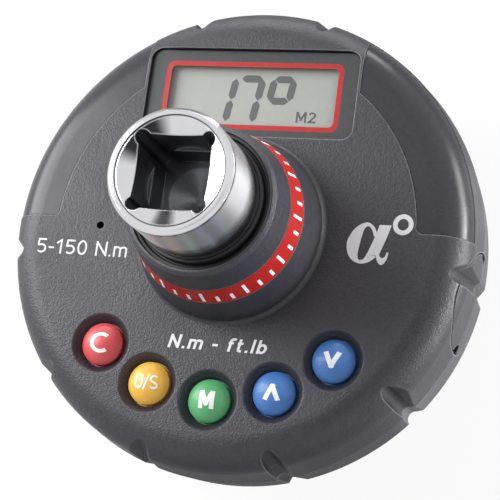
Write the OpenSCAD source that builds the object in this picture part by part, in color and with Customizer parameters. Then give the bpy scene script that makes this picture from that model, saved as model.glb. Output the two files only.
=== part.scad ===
// Torque angle gauge: a square drive adapter whose shaft carries strain gauges,
// in a round moulded housing with a display, five keys and a battery hatch in the rim.
// Frame: the drive axis is Z, the tip of the male square is the origin,
// the female end points up and the display lies towards +Y. Millimetres.

/* [Drive shaft] */
// Male square, across its flats
square_af = 12.7; // [11:0.1:13]
// Length of the male square
square_l = 15.5; // [12:0.5:20]
// How much wider the female square is than the male one
square_fit = 0.1; // [0.05:0.05:0.3]
// Depth of the female square below its mouth
socket_depth = 16; // [12:0.5:18]
// Outer diameter of the female end
head_d = 22; // [21:0.5:24]
// Height of the female end above the housing's face
head_rise = 34.8; // [32:0.2:40]
// Diameter of the two bearing journals
journal_d = 20; // [18.6:0.1:20.4]
// Diameter of the gauged waist
waist_d = 16; // [14:0.5:17]
// Flat land of the end face round the female square
head_land = 1.3; // [0.8:0.1:1.5]
// Width of the two flats that lock the housing to the shaft
lock_af = 18; // [17:0.1:18.4]
// Diameter of the ball in the male square
ball_d = 4.8; // [4:0.1:5.4]
// Height of the ball above the tip of the square
ball_z = 7; // [5:0.5:9]
// How far the ball stands out of the square
ball_proud = 0.8; // [0.4:0.1:1.1]

/* [Housing] */
// Largest diameter, at the parting line
body_d = 89; // [87:0.5:94]
// Thickness from back to face
body_h = 24; // [23.5:0.1:28]
// Height of the parting line above the back
split_h = 12.7; // [12:0.1:13.5]
// Radius of the front shoulder
shoulder_r = 6.3; // [5.5:0.1:7]
// Radius of the back shoulder
back_shoulder_r = 5; // [4.5:0.1:6]
// How much the wall leans in towards each shoulder
draft = 0.5; // [0.2:0.1:0.8]
// Thickness of the face and the back plate
plate_t = 2.4; // [2.2:0.1:2.8]
// Thickness of the side wall
side_t = 3; // [2.8:0.1:3.4]
// Bevel of the inside corner of both covers
inside_bevel = 2.6; // [2:0.1:2.8]
// Bevel at each side of the parting line
seam_bevel = 0.25; // [0.1:0.05:0.4]
// Width of the gasket between the covers
gasket_w = 1; // [0.6:0.1:1.1]
// Thickness of that gasket
gasket_t = 0.8; // [0.5:0.1:1.2]

/* [Boss] */
// Height of the boss above the face
boss_h = 18.9; // [17:0.1:21]
// Wall left round the seal at the top of the boss
boss_lip = 1; // [0.8:0.1:1.4]
// Bevel of the boss's top edge
boss_bevel = 0.6; // [0.3:0.1:0.7]
// Taper of the boss, radius gained for each millimetre down
boss_taper = 0.2; // [0.16:0.01:0.22]
// Radius of the fillet at the foot of the boss
foot_fillet = 1.6; // [1.2:0.1:3]
// Radial width of the shaft seal
seal_w = 1.6; // [1.3:0.1:1.8]
// Height of the shaft seal
seal_h = 3.2; // [2.5:0.1:4]
// Lower edge of the red band above the face
band_low = 8; // [6:0.1:9]
// Height of the red band
band_h = 4.9; // [4:0.1:6]
// Thickness of the red band
band_t = 0.8; // [0.5:0.1:0.9]
// Length of the locking bush in the boss
bush_l = 10; // [8:0.5:12]
// Height of the hub on the back
hub_h = 2.3; // [2:0.1:3]
// Diameter of the hub on the back
hub_d = 33; // [31:0.5:36]
// Wall of the back bush
back_bush_wall = 1.5; // [1.2:0.1:1.8]
// Width of the back bush's flange
back_bush_flange = 1.5; // [1.2:0.1:2]

/* [Retaining ring] */
// Land between the square's shoulder and the ring
clip_land = 1.6; // [1.2:0.1:2.5]
// Thickness of the retaining ring
clip_t = 1.2; // [1:0.1:1.5]
// Depth of its groove in the shaft
clip_groove = 0.6; // [0.4:0.1:0.8]
// Outer diameter of the ring
clip_d = 24.6; // [23.5:0.1:26]

/* [Keys] */
// Distance of the arc that the keys lie on from the rim
key_inset = 13; // [12.5:0.1:14]
// Angle from key to key
key_pitch = 22; // [20:0.5:22.5]
// Diameter of a key
key_d = 7.8; // [7:0.1:8.4]
// Diameter of a key's dished well at the face
well_d = 11.2; // [10.4:0.1:11.4]
// Depth of the dish
well_depth = 1.7; // [1:0.1:1.9]
// Clearance round a key
key_gap = 0.3; // [0.2:0.05:0.4]
// Travel of a key
key_travel = 0.6; // [0.3:0.1:0.7]
// How far a key's edge lies below the face
key_drop = 1.1; // [0.7:0.1:1.1]
// Height of a key's domed crown
key_crown = 1.7; // [1:0.1:2]
// Width of the rim that keeps a key in the housing
key_rim = 0.7; // [0.5:0.1:0.8]
// Bevel round the edge of a well
well_bevel = 0.25; // [0.1:0.05:0.4]
// Thickness of the key's rim
key_rim_t = 0.8; // [0.6:0.1:1]
// Length of the stem under a key
key_stem = 1.2; // [0.8:0.1:1.4]

/* [Display] */
// Width of the display's lens recess
lens_w = 40.8; // [39:0.2:41.6]
// Height of the lens recess
lens_h = 17.2; // [16.2:0.1:17.6]
// Distance of the display's centre from the rim
display_inset = 18; // [17.8:0.1:18.6]
// Corner radius of the recess
lens_corner = 2.2; // [1:0.1:3]
// How far the lens lies below the face
lens_sink = 1; // [0.6:0.1:1.1]
// Thickness of the lens
lens_t = 0.8; // [0.6:0.1:0.9]
// Clearance round the lens
lens_gap = 0.12; // [0.05:0.01:0.2]
// Width of the opening behind the lens
view_w = 33; // [30:0.5:34]
// Height of that opening
view_h = 11.8; // [10:0.1:12.4]
// Width of the liquid crystal panel
lcd_w = 36; // [35:0.5:36.6]
// Height of the panel
lcd_h = 14.6; // [13.8:0.1:15]
// Thickness of the panel
lcd_t = 2.2; // [1.8:0.1:2.8]
// Wall of the panel's holder
holder_t = 1.2; // [1:0.1:1.4]

/* [Light windows] */
// Distance of a light window's inner edge from the rim
light_inset = 10.3; // [9:0.1:10.5]
// Height of its lower end above the axis
light_low = 1; // [0.6:0.1:3]
// Distance of its upper end from the display's recess
light_end_gap = 0.55; // [0.5:0.05:3]
// Thickness of the window
light_t = 1.1; // [0.8:0.1:1.2]
// How far it lies below the housing's surface
light_sink = 0.15; // [0.1:0.05:0.3]
// Clearance round the window
light_gap = 0.08; // [0.05:0.01:0.15]
// How far it runs down over the shoulder
light_skirt = 5; // [4:0.1:6]
// Rounding of its lower inner corner
light_corner = 1.5; // [1:0.1:3]

/* [Grip notches] */
// Depth of a notch at the parting line
notch_depth = 0.9; // [0.5:0.1:1.1]
// How far a notch reaches in over the front shoulder
notch_reach = 3; // [2:0.1:3.2]
// How far a notch reaches in over the back shoulder
notch_back_reach = 2.2; // [1.5:0.1:2.4]
// Radius in the floor of a notch
notch_floor_r = 1.4; // [1:0.1:1.6]
// Rise of the notch's gentle side, in degrees
notch_ramp = 38; // [30:1:45]
// Angle from notch to notch
notch_pitch = 33; // [32:0.5:34]

/* [Battery] */
// Direction of the battery from the axis, in degrees
cell_angle = -11; // [-12:0.5:-10]
// Depth of the cell's axis below the face
cell_drop = 12; // [11.5:0.1:12]
// Diameter of the cell
cell_d = 15.6; // [14:0.1:15.8]
// Clearance between the shaft's waist and the cell's sleeve
sleeve_clear = 3.5; // [3.2:0.1:5]
// Clearance round the cell
cell_gap = 0.3; // [0.2:0.05:0.4]
// Wall of the battery sleeve
sleeve_t = 0.8; // [0.6:0.1:0.9]
// Diameter of the hatch
hatch_d = 18.4; // [18.2:0.1:19]
// Clearance round the hatch
hatch_gap = 0.25; // [0.15:0.05:0.3]
// Depth of the hatch's seat below the rim
hatch_depth = 4.1; // [3.9:0.1:4.3]
// Thickness of the ring in the covers that the hatch's seal lies on
seat_ring = 1.8; // [1.4:0.1:2.2]
// Thickness of the hatch's flat seal
hatch_seal_t = 0.6; // [0.4:0.1:0.8]
// Thickness of the battery contacts
contact_t = 0.3; // [0.2:0.05:0.4]
// Diameter of the contact plate in the hatch
contact_d = 11; // [9:0.5:13]
// Room for the spring contact behind the cell
contact_room = 1.4; // [1:0.1:1.6]
// Length of the button on the cell's outer end
button_l = 1; // [0.6:0.1:1.4]
// Diameter of that button
button_d = 6; // [4:0.5:8]

/* [Electronics] */
// Depth of the board's upper side below the face
board_drop = 8.9; // [8.6:0.1:9.4]
// Thickness of the board
board_t = 1.6; // [1:0.1:1.8]
// Clearance between the board and the side wall
board_gap = 2.2; // [1.6:0.1:2.6]
// Radius of the hole round the shaft
board_hole_r = 14; // [12:0.5:15]
// Side of a key switch
switch_w = 5.8; // [5:0.1:6.2]
// Height of a key switch without its plunger
switch_h = 3.5; // [3:0.1:3.6]
// Diameter of a switch plunger
plunger_d = 3; // [2.4:0.1:3.4]
// Diameter of the sounder
buzzer_d = 9.6; // [8:0.1:10.4]
// Height of the sounder
buzzer_h = 5.4; // [4:0.1:6]
// Diameter of the sound hole
sound_hole_d = 1.5; // [1:0.1:2]
// Side of a light emitting diode
led_w = 2.4; // [2:0.1:2.8]
// Side of the controller chip
chip_w = 9; // [7:0.5:10]
// Height of the controller chip
chip_h = 1.4; // [1:0.1:2]
// Side of the angle sensor
sensor_w = 5; // [4:0.5:6]
// Height of the angle sensor
sensor_h = 1.1; // [0.8:0.1:1.6]
// Thickness of a strain gauge
gauge_t = 0.3; // [0.2:0.05:0.4]

/* [Screws] */
// Distance of the case screws from the rim
screw_inset = 8.1; // [7.9:0.1:8.5]
// Diameter of a case screw
screw_d = 2.2; // [2:0.1:2.4]
// Diameter of its head
screw_head_d = 4.4; // [4:0.1:4.6]
// Wall of a screw's post
post_wall = 1.6; // [1.4:0.1:1.7]
// Height of its head
screw_head_h = 1.8; // [1.4:0.1:2.2]
// Depth of the pocket that the head lies in
screw_pocket = 5.5; // [4:0.1:7]
// Distance of the screw's tip from the ceiling
screw_end_gap = 2.1; // [1.6:0.1:5]
// Diameter of a board screw
board_screw_d = 1.8; // [1.6:0.1:2]
// Length of a board screw in its post
board_grip = 4; // [3:0.1:4.4]
// Diameter of its head
board_head_d = 3.6; // [3:0.1:3.8]
// Running clearance of fixed pieces
fit = 0.06; // [0.04:0.01:0.1]

/* [Hidden] */
$fn = 96;

// How far a cut runs past the surface that it opens
past = 1;

// Radii
body_r = body_d / 2;
wall_r = body_r - draft;
head_r = head_d / 2;
journal_r = journal_d / 2;
waist_r = waist_d / 2;
key_r = key_d / 2;
well_r = well_d / 2;
cell_r = cell_d / 2;
hatch_r = hatch_d / 2;
key_bore_r = key_r + key_gap;
key_rim_r = key_bore_r + key_rim;
sleeve_r = cell_r + cell_gap + sleeve_t;
boss_bore_r = head_r + seal_w + 2 * fit;
boss_top_r = boss_bore_r + boss_lip;
boss_foot_r = boss_top_r + boss_taper * (boss_h - boss_bevel);
back_bush_r = journal_r + fit + back_bush_wall;
hub_r = hub_d / 2;
light_side = lens_w / 2 + light_end_gap;

// Distances from the axis
key_arc_r = body_r - key_inset;
display_y = body_r - display_inset;
light_r = body_r - light_inset;
hatch_seat = body_r - hatch_depth;
board_r = wall_r - side_t - board_gap;
screw_ring_r = body_r - screw_inset;

// Heights
z_shoulder = square_l;
z_clip = z_shoulder + clip_land;
z_hub = z_clip + clip_t;
z_back = z_hub + hub_h;
z_floor = z_back + plate_t;
z_split = z_back + split_h;
z_face = z_back + body_h;
z_ceiling = z_face - plate_t;
z_boss = z_face + boss_h;
z_top = z_face + head_rise;
z_lock = z_face + bush_l;
z_board = z_face - board_drop;
z_cell = z_face - cell_drop;
face_h = z_face - z_split;
hub_top = z_floor + plate_t / 4;
screw_l = z_ceiling - screw_end_gap - z_back - screw_pocket;
plunger_rise = board_drop - plate_t - key_rim_t - key_stem - switch_h;

// Distances along the cell: its outer end, its inner end and the bottom of its sleeve
cell_end = hatch_seat + hatch_seal_t - contact_t;
sleeve_start = waist_r + sleeve_clear;
cell_start = sleeve_start + sleeve_t + contact_room;
cell_l = cell_end - cell_start;

// Keys, from the red one on the left to the last blue one on the right
key_angles = [for (i = [-2:2]) -90 + i * key_pitch];

// Case screws and the board's posts
screw_angles = [48, 132, -57, -123];
board_posts = board_r * [[0.645, 0.32], [-0.645, 0.32], [-0.49, -0.335], [0.26, -0.465]];
post_r = screw_d / 2 + post_wall;
board_post_r = board_screw_d / 2 + 0.8 * post_wall;

// Notches of the right half, the left half is their mirror image
notch_angles = concat(90 - notch_pitch / 2, [for (i = [0:2]) -90 + notch_pitch * (i + 0.5)]);

// Places on the board
buzzer_at = board_r * [-0.657, -0.013];
chip_at = board_r * [-0.26, 0.67];
sensor_at = board_r * [-0.695, -0.41];
led_ring_r = light_r + led_w / 2 + 0.7;
led_angles = [12, 22, 32];

// Section of one cover above the parting line, seen from the axis outwards:
// a flat plate, a round shoulder and a leaning wall, all set in by a distance,
// with a bevel at the parting line
module cover_section(h, corner, inset, bevel) {
    r_low = body_r - inset;
    r_high = wall_r - inset;
    top = h - inset;
    round_r = corner - inset;
    polygon([
        [0, 0], [r_low - bevel, 0], [r_low, bevel],
        [r_high, top - round_r], [r_high - round_r, top], [0, top]
    ]);
    translate([r_high - round_r, top - round_r])
        intersection() {
            circle(round_r);
            square(round_r + past);
        }
}

// The room inside one cover, down past the parting line
module room_section(h) {
    r_low = body_r - side_t;
    r_high = wall_r - side_t;
    top = h - plate_t;
    polygon([
        [0, -past], [r_low, -past], [r_low, 0],
        [r_high, top - inside_bevel], [r_high - inside_bevel, top], [0, top]
    ]);
}

// Outer form of the front half, set in by a distance
module front_form(inset = 0, bevel = seam_bevel) {
    translate([0, 0, z_split])
        rotate_extrude()
            cover_section(face_h, shoulder_r, inset, bevel);
}

// Outer form of the back half
module back_form(bevel = seam_bevel) {
    translate([0, 0, z_split])
        mirror([0, 0, 1])
            rotate_extrude()
                cover_section(split_h, back_shoulder_r, 0, bevel);
}

// Rectangle with round corners, about its centre
module round_rect(w, h, r) {
    square([w - 2 * r, h], center = true);
    square([w, h - 2 * r], center = true);
    for (x = [-1, 1], y = [-1, 1])
        translate([x * (w / 2 - r), y * (h / 2 - r)])
            circle(r);
}

// Places a piece on each case screw's axis
module at_screws() {
    for (a = screw_angles)
        rotate([0, 0, a])
            translate([screw_ring_r, 0, 0])
                children();
}

// Places a piece on each of the board's posts
module at_board_posts() {
    for (p = board_posts)
        translate([p[0], p[1], 0])
            children();
}

// Places a piece on the axis of one key
module at_key(i) {
    rotate([0, 0, key_angles[i]])
        translate([key_arc_r, 0, 0])
            children();
}

// Turns a piece so that its Z axis runs outwards along the cell
module along_cell() {
    rotate([0, 0, cell_angle])
        translate([0, 0, z_cell])
            rotate([0, 90, 0])
                children();
}

// Cross section of a grip notch: x runs outwards from its floor, y along the rim.
// One side is steep, the other climbs at the ramp's angle.
module notch_section() {
    top = 5;
    near_tangent = 0.97;
    foot = [
        notch_floor_r * (1 - near_tangent * cos(notch_ramp)),
        notch_floor_r * near_tangent * sin(notch_ramp)
    ];
    translate([notch_floor_r, 0])
        circle(notch_floor_r);
    polygon([
        [notch_floor_r, -notch_floor_r], [top, -notch_floor_r],
        [top, foot[1] + (top - foot[0]) / tan(notch_ramp)], foot
    ]);
}

// One notch's cutter for a cover of height h: its floor leaves the shoulder at the
// reach and meets the parting line at the notch's depth
module notch_cutter(h, corner, reach) {
    tip_r = wall_r - reach;
    tip_h = h - corner + sqrt(corner * corner - pow(corner - reach, 2));
    tilt = atan((body_r - notch_depth - tip_r) / tip_h);
    overshoot = 6;
    translate([tip_r, 0, tip_h])
        rotate([0, -tilt, 0])
            translate([0, 0, -tip_h - overshoot])
                linear_extrude(tip_h + 2 * overshoot)
                    notch_section();
}

// All notches of the front half
module front_notches() {
    for (side = [0, 1], a = notch_angles)
        mirror([side, 0, 0])
            rotate([0, 0, a])
                translate([0, 0, z_split])
                    notch_cutter(face_h, shoulder_r, notch_reach);
}

// All notches of the back half
module back_notches() {
    for (side = [0, 1], a = notch_angles)
        mirror([side, 0, 0])
            rotate([0, 0, a])
                translate([0, 0, z_split])
                    mirror([0, 0, 1])
                        notch_cutter(split_h, back_shoulder_r, notch_back_reach);
}

// Opening of the battery hatch, with a step that the hatch's seal lies on
module hatch_opening() {
    along_cell()
        translate([0, 0, hatch_seat])
            cylinder(h = body_r, r = hatch_r + hatch_gap);
    along_cell()
        translate([0, 0, hatch_seat - seat_ring - past])
            cylinder(h = seat_ring + 2 * past, r = sleeve_r - sleeve_t + cell_gap);
}

// Ring inside both covers that carries the hatch's step
module hatch_ring() {
    ring_wall = 0.5;
    along_cell()
        translate([0, 0, hatch_seat - seat_ring])
            cylinder(h = seat_ring + hatch_seal_t, r = hatch_r + hatch_gap + ring_wall);
}

// Plan of the right light window, set in by a gap
module light_plan(gap) {
    low = light_low + gap;
    inner = light_r + gap;
    shift = 0.05;
    centre_y = low + light_corner - shift;
    centre_x = sqrt(pow(inner + light_corner - shift, 2) - centre_y * centre_y);
    difference() {
        intersection() {
            circle(body_r + past);
            translate([light_side + gap, low])
                square(body_r);
        }
        circle(inner);
        difference() {
            translate([inner - light_corner, low - past])
                square([centre_x - inner + light_corner, centre_y - low + past]);
            translate([centre_x, centre_y])
                circle(light_corner);
        }
    }
}

// Right light window, a shell that follows the shoulder
module light_shell() {
    intersection() {
        translate([0, 0, z_face - light_skirt])
            linear_extrude(light_skirt + past)
                light_plan(light_gap);
        difference() {
            front_form(light_sink);
            front_form(light_sink + light_t);
        }
    }
}

// Bed of the right light window in the front cover
module light_bed() {
    intersection() {
        translate([0, 0, z_face - light_skirt - light_gap])
            linear_extrude(light_skirt + light_gap + past)
                light_plan(0);
        difference() {
            front_form(-past);
            front_form(light_sink + light_t + light_gap);
        }
    }
}

// Light holes under the right window
module light_holes() {
    for (a = led_angles)
        rotate([0, 0, a])
            translate([led_ring_r, 0, z_ceiling - past])
                cylinder(h = plate_t, d = led_w);
}

// Section of the boss: a cone with a bevelled top and a filleted foot
module boss_section() {
    fillet_sink = 0.15;
    fillet_bite = 0.08;
    lean = atan(boss_taper);
    fillet_z = foot_fillet - fillet_sink;
    fillet_x = boss_foot_r - boss_taper * fillet_z + foot_fillet / cos(lean) - fillet_bite;
    polygon([
        [0, -plate_t / 2], [boss_foot_r, -plate_t / 2], [boss_foot_r, 0],
        [boss_top_r, boss_h - boss_bevel], [boss_top_r - boss_bevel, boss_h], [0, boss_h]
    ]);
    difference() {
        polygon([
            [boss_bore_r, -plate_t / 2], [fillet_x, -plate_t / 2], [fillet_x, 0],
            [fillet_x - foot_fillet * cos(lean), fillet_z - foot_fillet * sin(lean)],
            [boss_bore_r, fillet_z]
        ]);
        translate([fillet_x, fillet_z])
            circle(foot_fillet);
    }
}

// Radius of the boss's cone at a height above the face
function boss_r_at(h) = boss_foot_r - boss_taper * h;

// Ring that follows the boss's cone between two heights, from one depth to another
module boss_ring(low, high, outer, inner) {
    translate([0, 0, z_face])
        rotate_extrude()
            polygon([
                [boss_r_at(low) + inner, low], [boss_r_at(low) + outer, low],
                [boss_r_at(high) + outer, high], [boss_r_at(high) + inner, high]
            ]);
}

// Two lugs that key the locking bush to the boss
module bush_lugs(gap) {
    lug_w = 4;
    lug_rise = 1;
    translate([0, 0, z_face])
        linear_extrude(bush_l)
            square([2 * (boss_bore_r + lug_rise + gap), lug_w + 2 * gap], center = true);
}

// Dished well and bore of one key, cut from the face
module key_well() {
    rim_r = well_r - well_bevel / 2;
    dish_rise = (rim_r * rim_r - key_bore_r * key_bore_r - well_depth * well_depth) / (2 * well_depth);
    dish_r = sqrt(dish_rise * dish_rise + rim_r * rim_r);
    translate([0, 0, z_ceiling - past])
        cylinder(h = plate_t + past, r = key_bore_r);
    translate([0, 0, z_face + dish_rise])
        sphere(dish_r);
    translate([0, 0, z_face - well_bevel])
        cylinder(h = well_bevel + past, r1 = well_r - well_bevel, r2 = well_r + past);
}

module front_cover() {
    color("#4b4a4e")
        difference() {
            union() {
                difference() {
                    front_form();
                    translate([0, 0, z_split])
                        rotate_extrude()
                            room_section(face_h);
                }
                translate([0, 0, z_face])
                    rotate_extrude()
                        boss_section();
                at_screws()
                    translate([0, 0, z_split])
                        cylinder(h = z_ceiling - z_split + plate_t / 4, r = post_r);
                at_board_posts()
                    translate([0, 0, z_board])
                        cylinder(h = board_drop - plate_t * 3 / 4, r = board_post_r);
                intersection() {
                    hatch_ring();
                    front_form(plate_t / 4);
                }
            }
            translate([0, 0, z_face])
                cylinder(h = boss_h + past, r = boss_bore_r);
            translate([0, 0, z_ceiling - past])
                cylinder(h = plate_t + 2 * past, r = journal_r + 8 * fit);
            bush_lugs(fit);
            boss_ring(band_low, band_low + band_h, past, -band_t - fit);
            for (i = [0:4])
                at_key(i)
                    key_well();
            translate([0, display_y, z_face - lens_sink - lens_t])
                linear_extrude(lens_sink + lens_t + past)
                    round_rect(lens_w, lens_h, lens_corner);
            translate([0, display_y, z_ceiling - past])
                linear_extrude(plate_t + past)
                    square([view_w, view_h], center = true);
            translate([buzzer_at[0], buzzer_at[1], z_ceiling - past])
                cylinder(h = plate_t + 2 * past, d = sound_hole_d);
            for (side = [0, 1])
                mirror([side, 0, 0]) {
                    light_bed();
                    light_holes();
                }
            front_notches();
            hatch_opening();
            at_screws()
                translate([0, 0, z_split - past])
                    cylinder(h = z_ceiling - z_split, d = screw_d + 2 * fit);
            at_board_posts()
                translate([0, 0, z_board - past])
                    cylinder(h = board_drop - plate_t - past, d = board_screw_d + 2 * fit);
        }
}

// Saddle in the rear cover that the battery sleeve lies in
module battery_saddle(at) {
    saddle_t = 1.6;
    rotate([0, 0, cell_angle])
        translate([at, 0, (z_floor + z_cell) / 2 - cell_r / 2])
            cube([saddle_t, 2 * sleeve_r, z_cell - z_floor - cell_r + plate_t], center = true);
}

module rear_cover() {
    hub_bevel = 0.6;
    color("#434246")
        difference() {
            union() {
                difference() {
                    back_form();
                    translate([0, 0, z_split])
                        mirror([0, 0, 1])
                            rotate_extrude()
                                room_section(split_h);
                }
                translate([0, 0, z_hub])
                    rotate_extrude()
                        polygon([
                            [0, 0], [hub_r - hub_bevel, 0], [hub_r, hub_bevel],
                            [hub_r + hub_bevel, hub_h + plate_t / 2], [0, hub_h + plate_t / 2]
                        ]);
                translate([0, 0, z_back + plate_t / 2])
                    cylinder(h = hub_top - z_back - plate_t / 2, r = hub_r - back_bush_wall);
                at_screws()
                    translate([0, 0, z_floor - plate_t / 4])
                        cylinder(h = z_split - z_floor + plate_t / 4, r = screw_head_d / 2 + 1);
                intersection() {
                    hatch_ring();
                    back_form();
                }
                for (side = [-1, 1])
                    battery_saddle((waist_r + hatch_seat) / 2 + side * cell_l / 4.5);
            }
            translate([0, 0, z_hub - past])
                cylinder(h = body_h, r = back_bush_r + fit);
            translate([0, 0, z_hub - past])
                cylinder(h = back_bush_wall + past, r = back_bush_r + back_bush_flange + fit);
            along_cell()
                translate([0, 0, waist_r])
                    cylinder(h = hatch_seat - waist_r - past, r = sleeve_r + fit);
            translate([0, 0, z_split])
                gasket_ring(fit, past);
            back_notches();
            hatch_opening();
            at_screws()
                translate([0, 0, z_back - past])
                    cylinder(h = screw_pocket + past, d = screw_head_d + 4 * fit);
            at_screws()
                translate([0, 0, z_back])
                    cylinder(h = split_h + past, d = screw_d + 4 * fit);
        }
}

// Gasket's ring about the parting plane, with a gap at its sides and a rise above it
module gasket_ring(gap, rise) {
    middle_r = body_r - side_t + gasket_w / 2 + 0.4;
    translate([0, 0, -gasket_t])
        difference() {
            cylinder(h = gasket_t + rise, r = middle_r + gasket_w / 2 + gap);
            translate([0, 0, -past])
                cylinder(h = gasket_t + rise + 2 * past, r = middle_r - gasket_w / 2 - gap);
        }
}

module case_gasket() {
    color("#1d1d1f")
        difference() {
            translate([0, 0, z_split])
                gasket_ring(0, 0);
            along_cell()
                cylinder(h = body_d, r = hatch_r + hatch_gap);
        }
}

// Screw that points up, with a hexagon socket in its head
module socket_screw(shank_d, shank_l, head_d, head_h) {
    socket_share = 0.55;
    difference() {
        union() {
            translate([0, 0, -head_h])
                cylinder(h = head_h, d = head_d);
            cylinder(h = shank_l, d = shank_d);
        }
        translate([0, 0, -head_h - past])
            cylinder(h = head_h * socket_share + past, d = head_d * socket_share, $fn = 6);
    }
}

module case_screws() {
    color("#9a9a9c")
        at_screws()
            translate([0, 0, z_back + screw_pocket])
                socket_screw(screw_d, screw_l, screw_head_d, screw_head_h);
}

module red_band() {
    color("#c8281f")
        boss_ring(band_low + fit, band_low + band_h - fit, 0, -band_t);
}

// Stepped lip seal round the shaft, just below the top of the boss
module shaft_seal() {
    inner = head_r + fit;
    outer = head_r + seal_w;
    lip_rise = 1.2;
    translate([0, 0, z_boss - seal_h - boss_bevel])
        color("#151517")
            rotate_extrude()
                polygon([
                    [inner, 0], [outer, 0], [outer, seal_h], [outer - seal_w * 0.3, seal_h],
                    [outer - seal_w * 0.45, seal_h - lip_rise / 2],
                    [outer - seal_w * 0.6, seal_h - lip_rise / 2],
                    [outer - seal_w * 0.7, seal_h + lip_rise], [inner, seal_h + lip_rise]
                ]);
}

// Profile of the turned shaft above the square's shoulder
module shaft_section() {
    edge = 0.6;
    waist_low = hub_top + 1;
    waist_high = z_ceiling;
    blend = journal_r - waist_r;
    polygon([
        [0, z_shoulder], [journal_r - edge, z_shoulder], [journal_r, z_shoulder + edge],
        [journal_r, z_clip], [journal_r - clip_groove, z_clip],
        [journal_r - clip_groove, z_hub], [journal_r, z_hub],
        [journal_r, waist_low], [waist_r, waist_low + blend],
        [waist_r, waist_high - blend], [journal_r, waist_high],
        [journal_r, z_lock], [head_r, z_lock],
        [head_r, z_top - edge], [head_r - edge, z_top], [0, z_top]
    ]);
}

// Male square with broken corners and a bevelled tip
module male_square() {
    corner_r = square_af * 0.66;
    tip_bevel = 1.2;
    intersection() {
        translate([0, 0, z_shoulder / 2])
            cube([square_af, square_af, z_shoulder + past], center = true);
        rotate_extrude()
            polygon([
                [0, 0], [square_af / 2 - tip_bevel / 2, 0], [corner_r, corner_r - square_af / 2 + tip_bevel],
                [corner_r, z_shoulder + past / 2], [0, z_shoulder + past / 2]
            ]);
    }
}

// Cross hole of the detent ball in the male square, open towards +X
module ball_hole() {
    translate([0, 0, ball_z])
        rotate([0, 90, 0])
            children();
}

// Female square: entry cone, square with corner reliefs, ball groove and drill point
module female_square() {
    half = (square_af + square_fit) / 2;
    mouth_r = head_r - head_land;
    relief_r = half * 0.2;
    relief_at = half * 0.89;
    groove_rise = half * 0.14;
    groove_h = half * 0.5;
    drill_r = half * 0.86;
    drill_depth = half * 0.16;
    throat_r = half * 0.9;
    mouth_slope = 0.42;
    mouth_depth = (mouth_r - throat_r) * mouth_slope;
    line_w = 0.25;
    translate([0, 0, z_top - socket_depth]) {
        translate([-half, -half, 0])
            cube([2 * half, 2 * half, socket_depth + past]);
        for (x = [-1, 1], y = [-1, 1])
            translate([x * relief_at, y * relief_at, 0])
                cylinder(h = socket_depth + past, r = relief_r);
        translate([0, 0, socket_depth / 2 - groove_h / 2])
            cylinder(h = groove_h, r = half + groove_rise);
        translate([0, 0, -drill_depth])
            cylinder(h = drill_depth + past, r1 = drill_r * 0.2, r2 = drill_r * (1 + 0.8 * past / drill_depth));
    }
    translate([0, 0, z_top - mouth_depth])
        cylinder(h = mouth_depth + past * mouth_slope, r1 = throat_r, r2 = mouth_r + past);
    translate([0, 0, z_top - line_w])
        difference() {
            cylinder(h = line_w + past, r = mouth_r);
            cylinder(h = 3 * past, r = mouth_r - line_w, center = true);
        }
}

module drive_shaft() {
    flat_depth = journal_r;
    color("#d9dadd")
        difference() {
            union() {
                rotate_extrude()
                    shaft_section();
                male_square();
            }
            for (side = [-1, 1])
                translate([side * (lock_af / 2 + flat_depth / 2), 0, (z_ceiling + z_lock) / 2])
                    cube([flat_depth, 2 * journal_d, z_lock - z_ceiling], center = true);
            female_square();
            ball_hole()
                cylinder(h = square_af, d = ball_d + 4 * fit);
        }
}

module lock_bush() {
    color("#2a2a2d")
        difference() {
            union() {
                translate([0, 0, z_face])
                    cylinder(h = bush_l, r = boss_bore_r - fit);
                intersection() {
                    bush_lugs(0);
                    translate([0, 0, z_face])
                        cylinder(h = bush_l, r = boss_bore_r + 1);
                }
            }
            intersection() {
                translate([0, 0, z_face - past])
                    cylinder(h = bush_l + 2 * past, r = journal_r + fit);
                translate([0, 0, z_face + bush_l / 2])
                    cube([lock_af + 2 * fit, 2 * journal_d, bush_l + 4 * past], center = true);
            }
        }
}

module back_bush() {
    color("#2a2a2d")
        difference() {
            union() {
                translate([0, 0, z_hub])
                    cylinder(h = hub_top - z_hub, r = back_bush_r);
                translate([0, 0, z_hub])
                    cylinder(h = back_bush_wall - fit, r = back_bush_r + back_bush_flange);
            }
            translate([0, 0, z_hub - past])
                cylinder(h = body_h, r = journal_r + fit);
        }
}

// Spring ring with an opening and two eyed ears
module retaining_ring() {
    inner = journal_r - clip_groove + fit;
    outer = clip_d / 2;
    ear_r = 1.6;
    ear_hole_r = 0.7;
    ear_spread = 2.4;
    side_play = fit / 2;
    color("#6f6f73")
        translate([0, 0, z_clip + side_play])
            linear_extrude(clip_t - side_play)
                difference() {
                    union() {
                        circle(outer);
                        for (side = [-1, 1])
                            translate([side * ear_spread, -outer])
                                circle(ear_r);
                    }
                    circle(inner);
                    translate([0, -outer])
                        square([2 * (ear_spread - ear_r) + 0.6, journal_d], center = true);
                    for (side = [-1, 1])
                        translate([side * ear_spread, -outer])
                            circle(ear_hole_r);
                }
}

// Four foil gauges round the waist, at a quarter turn from each other
module strain_gauges() {
    gauge_w = 5;
    gauge_h = 7;
    gauge_z = (hub_top + z_ceiling) / 2;
    color("#b98a4a")
        for (a = [0:90:270])
            rotate([0, 0, a + 45])
                intersection() {
                    translate([waist_r, 0, gauge_z])
                        cube([waist_r, gauge_w, gauge_h], center = true);
                    translate([0, 0, gauge_z - gauge_h])
                        difference() {
                            cylinder(h = 2 * gauge_h, r = waist_r + gauge_t);
                            translate([0, 0, -past])
                                cylinder(h = 2 * gauge_h + 2 * past, r = waist_r + fit / 2);
                        }
                }
}

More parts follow.
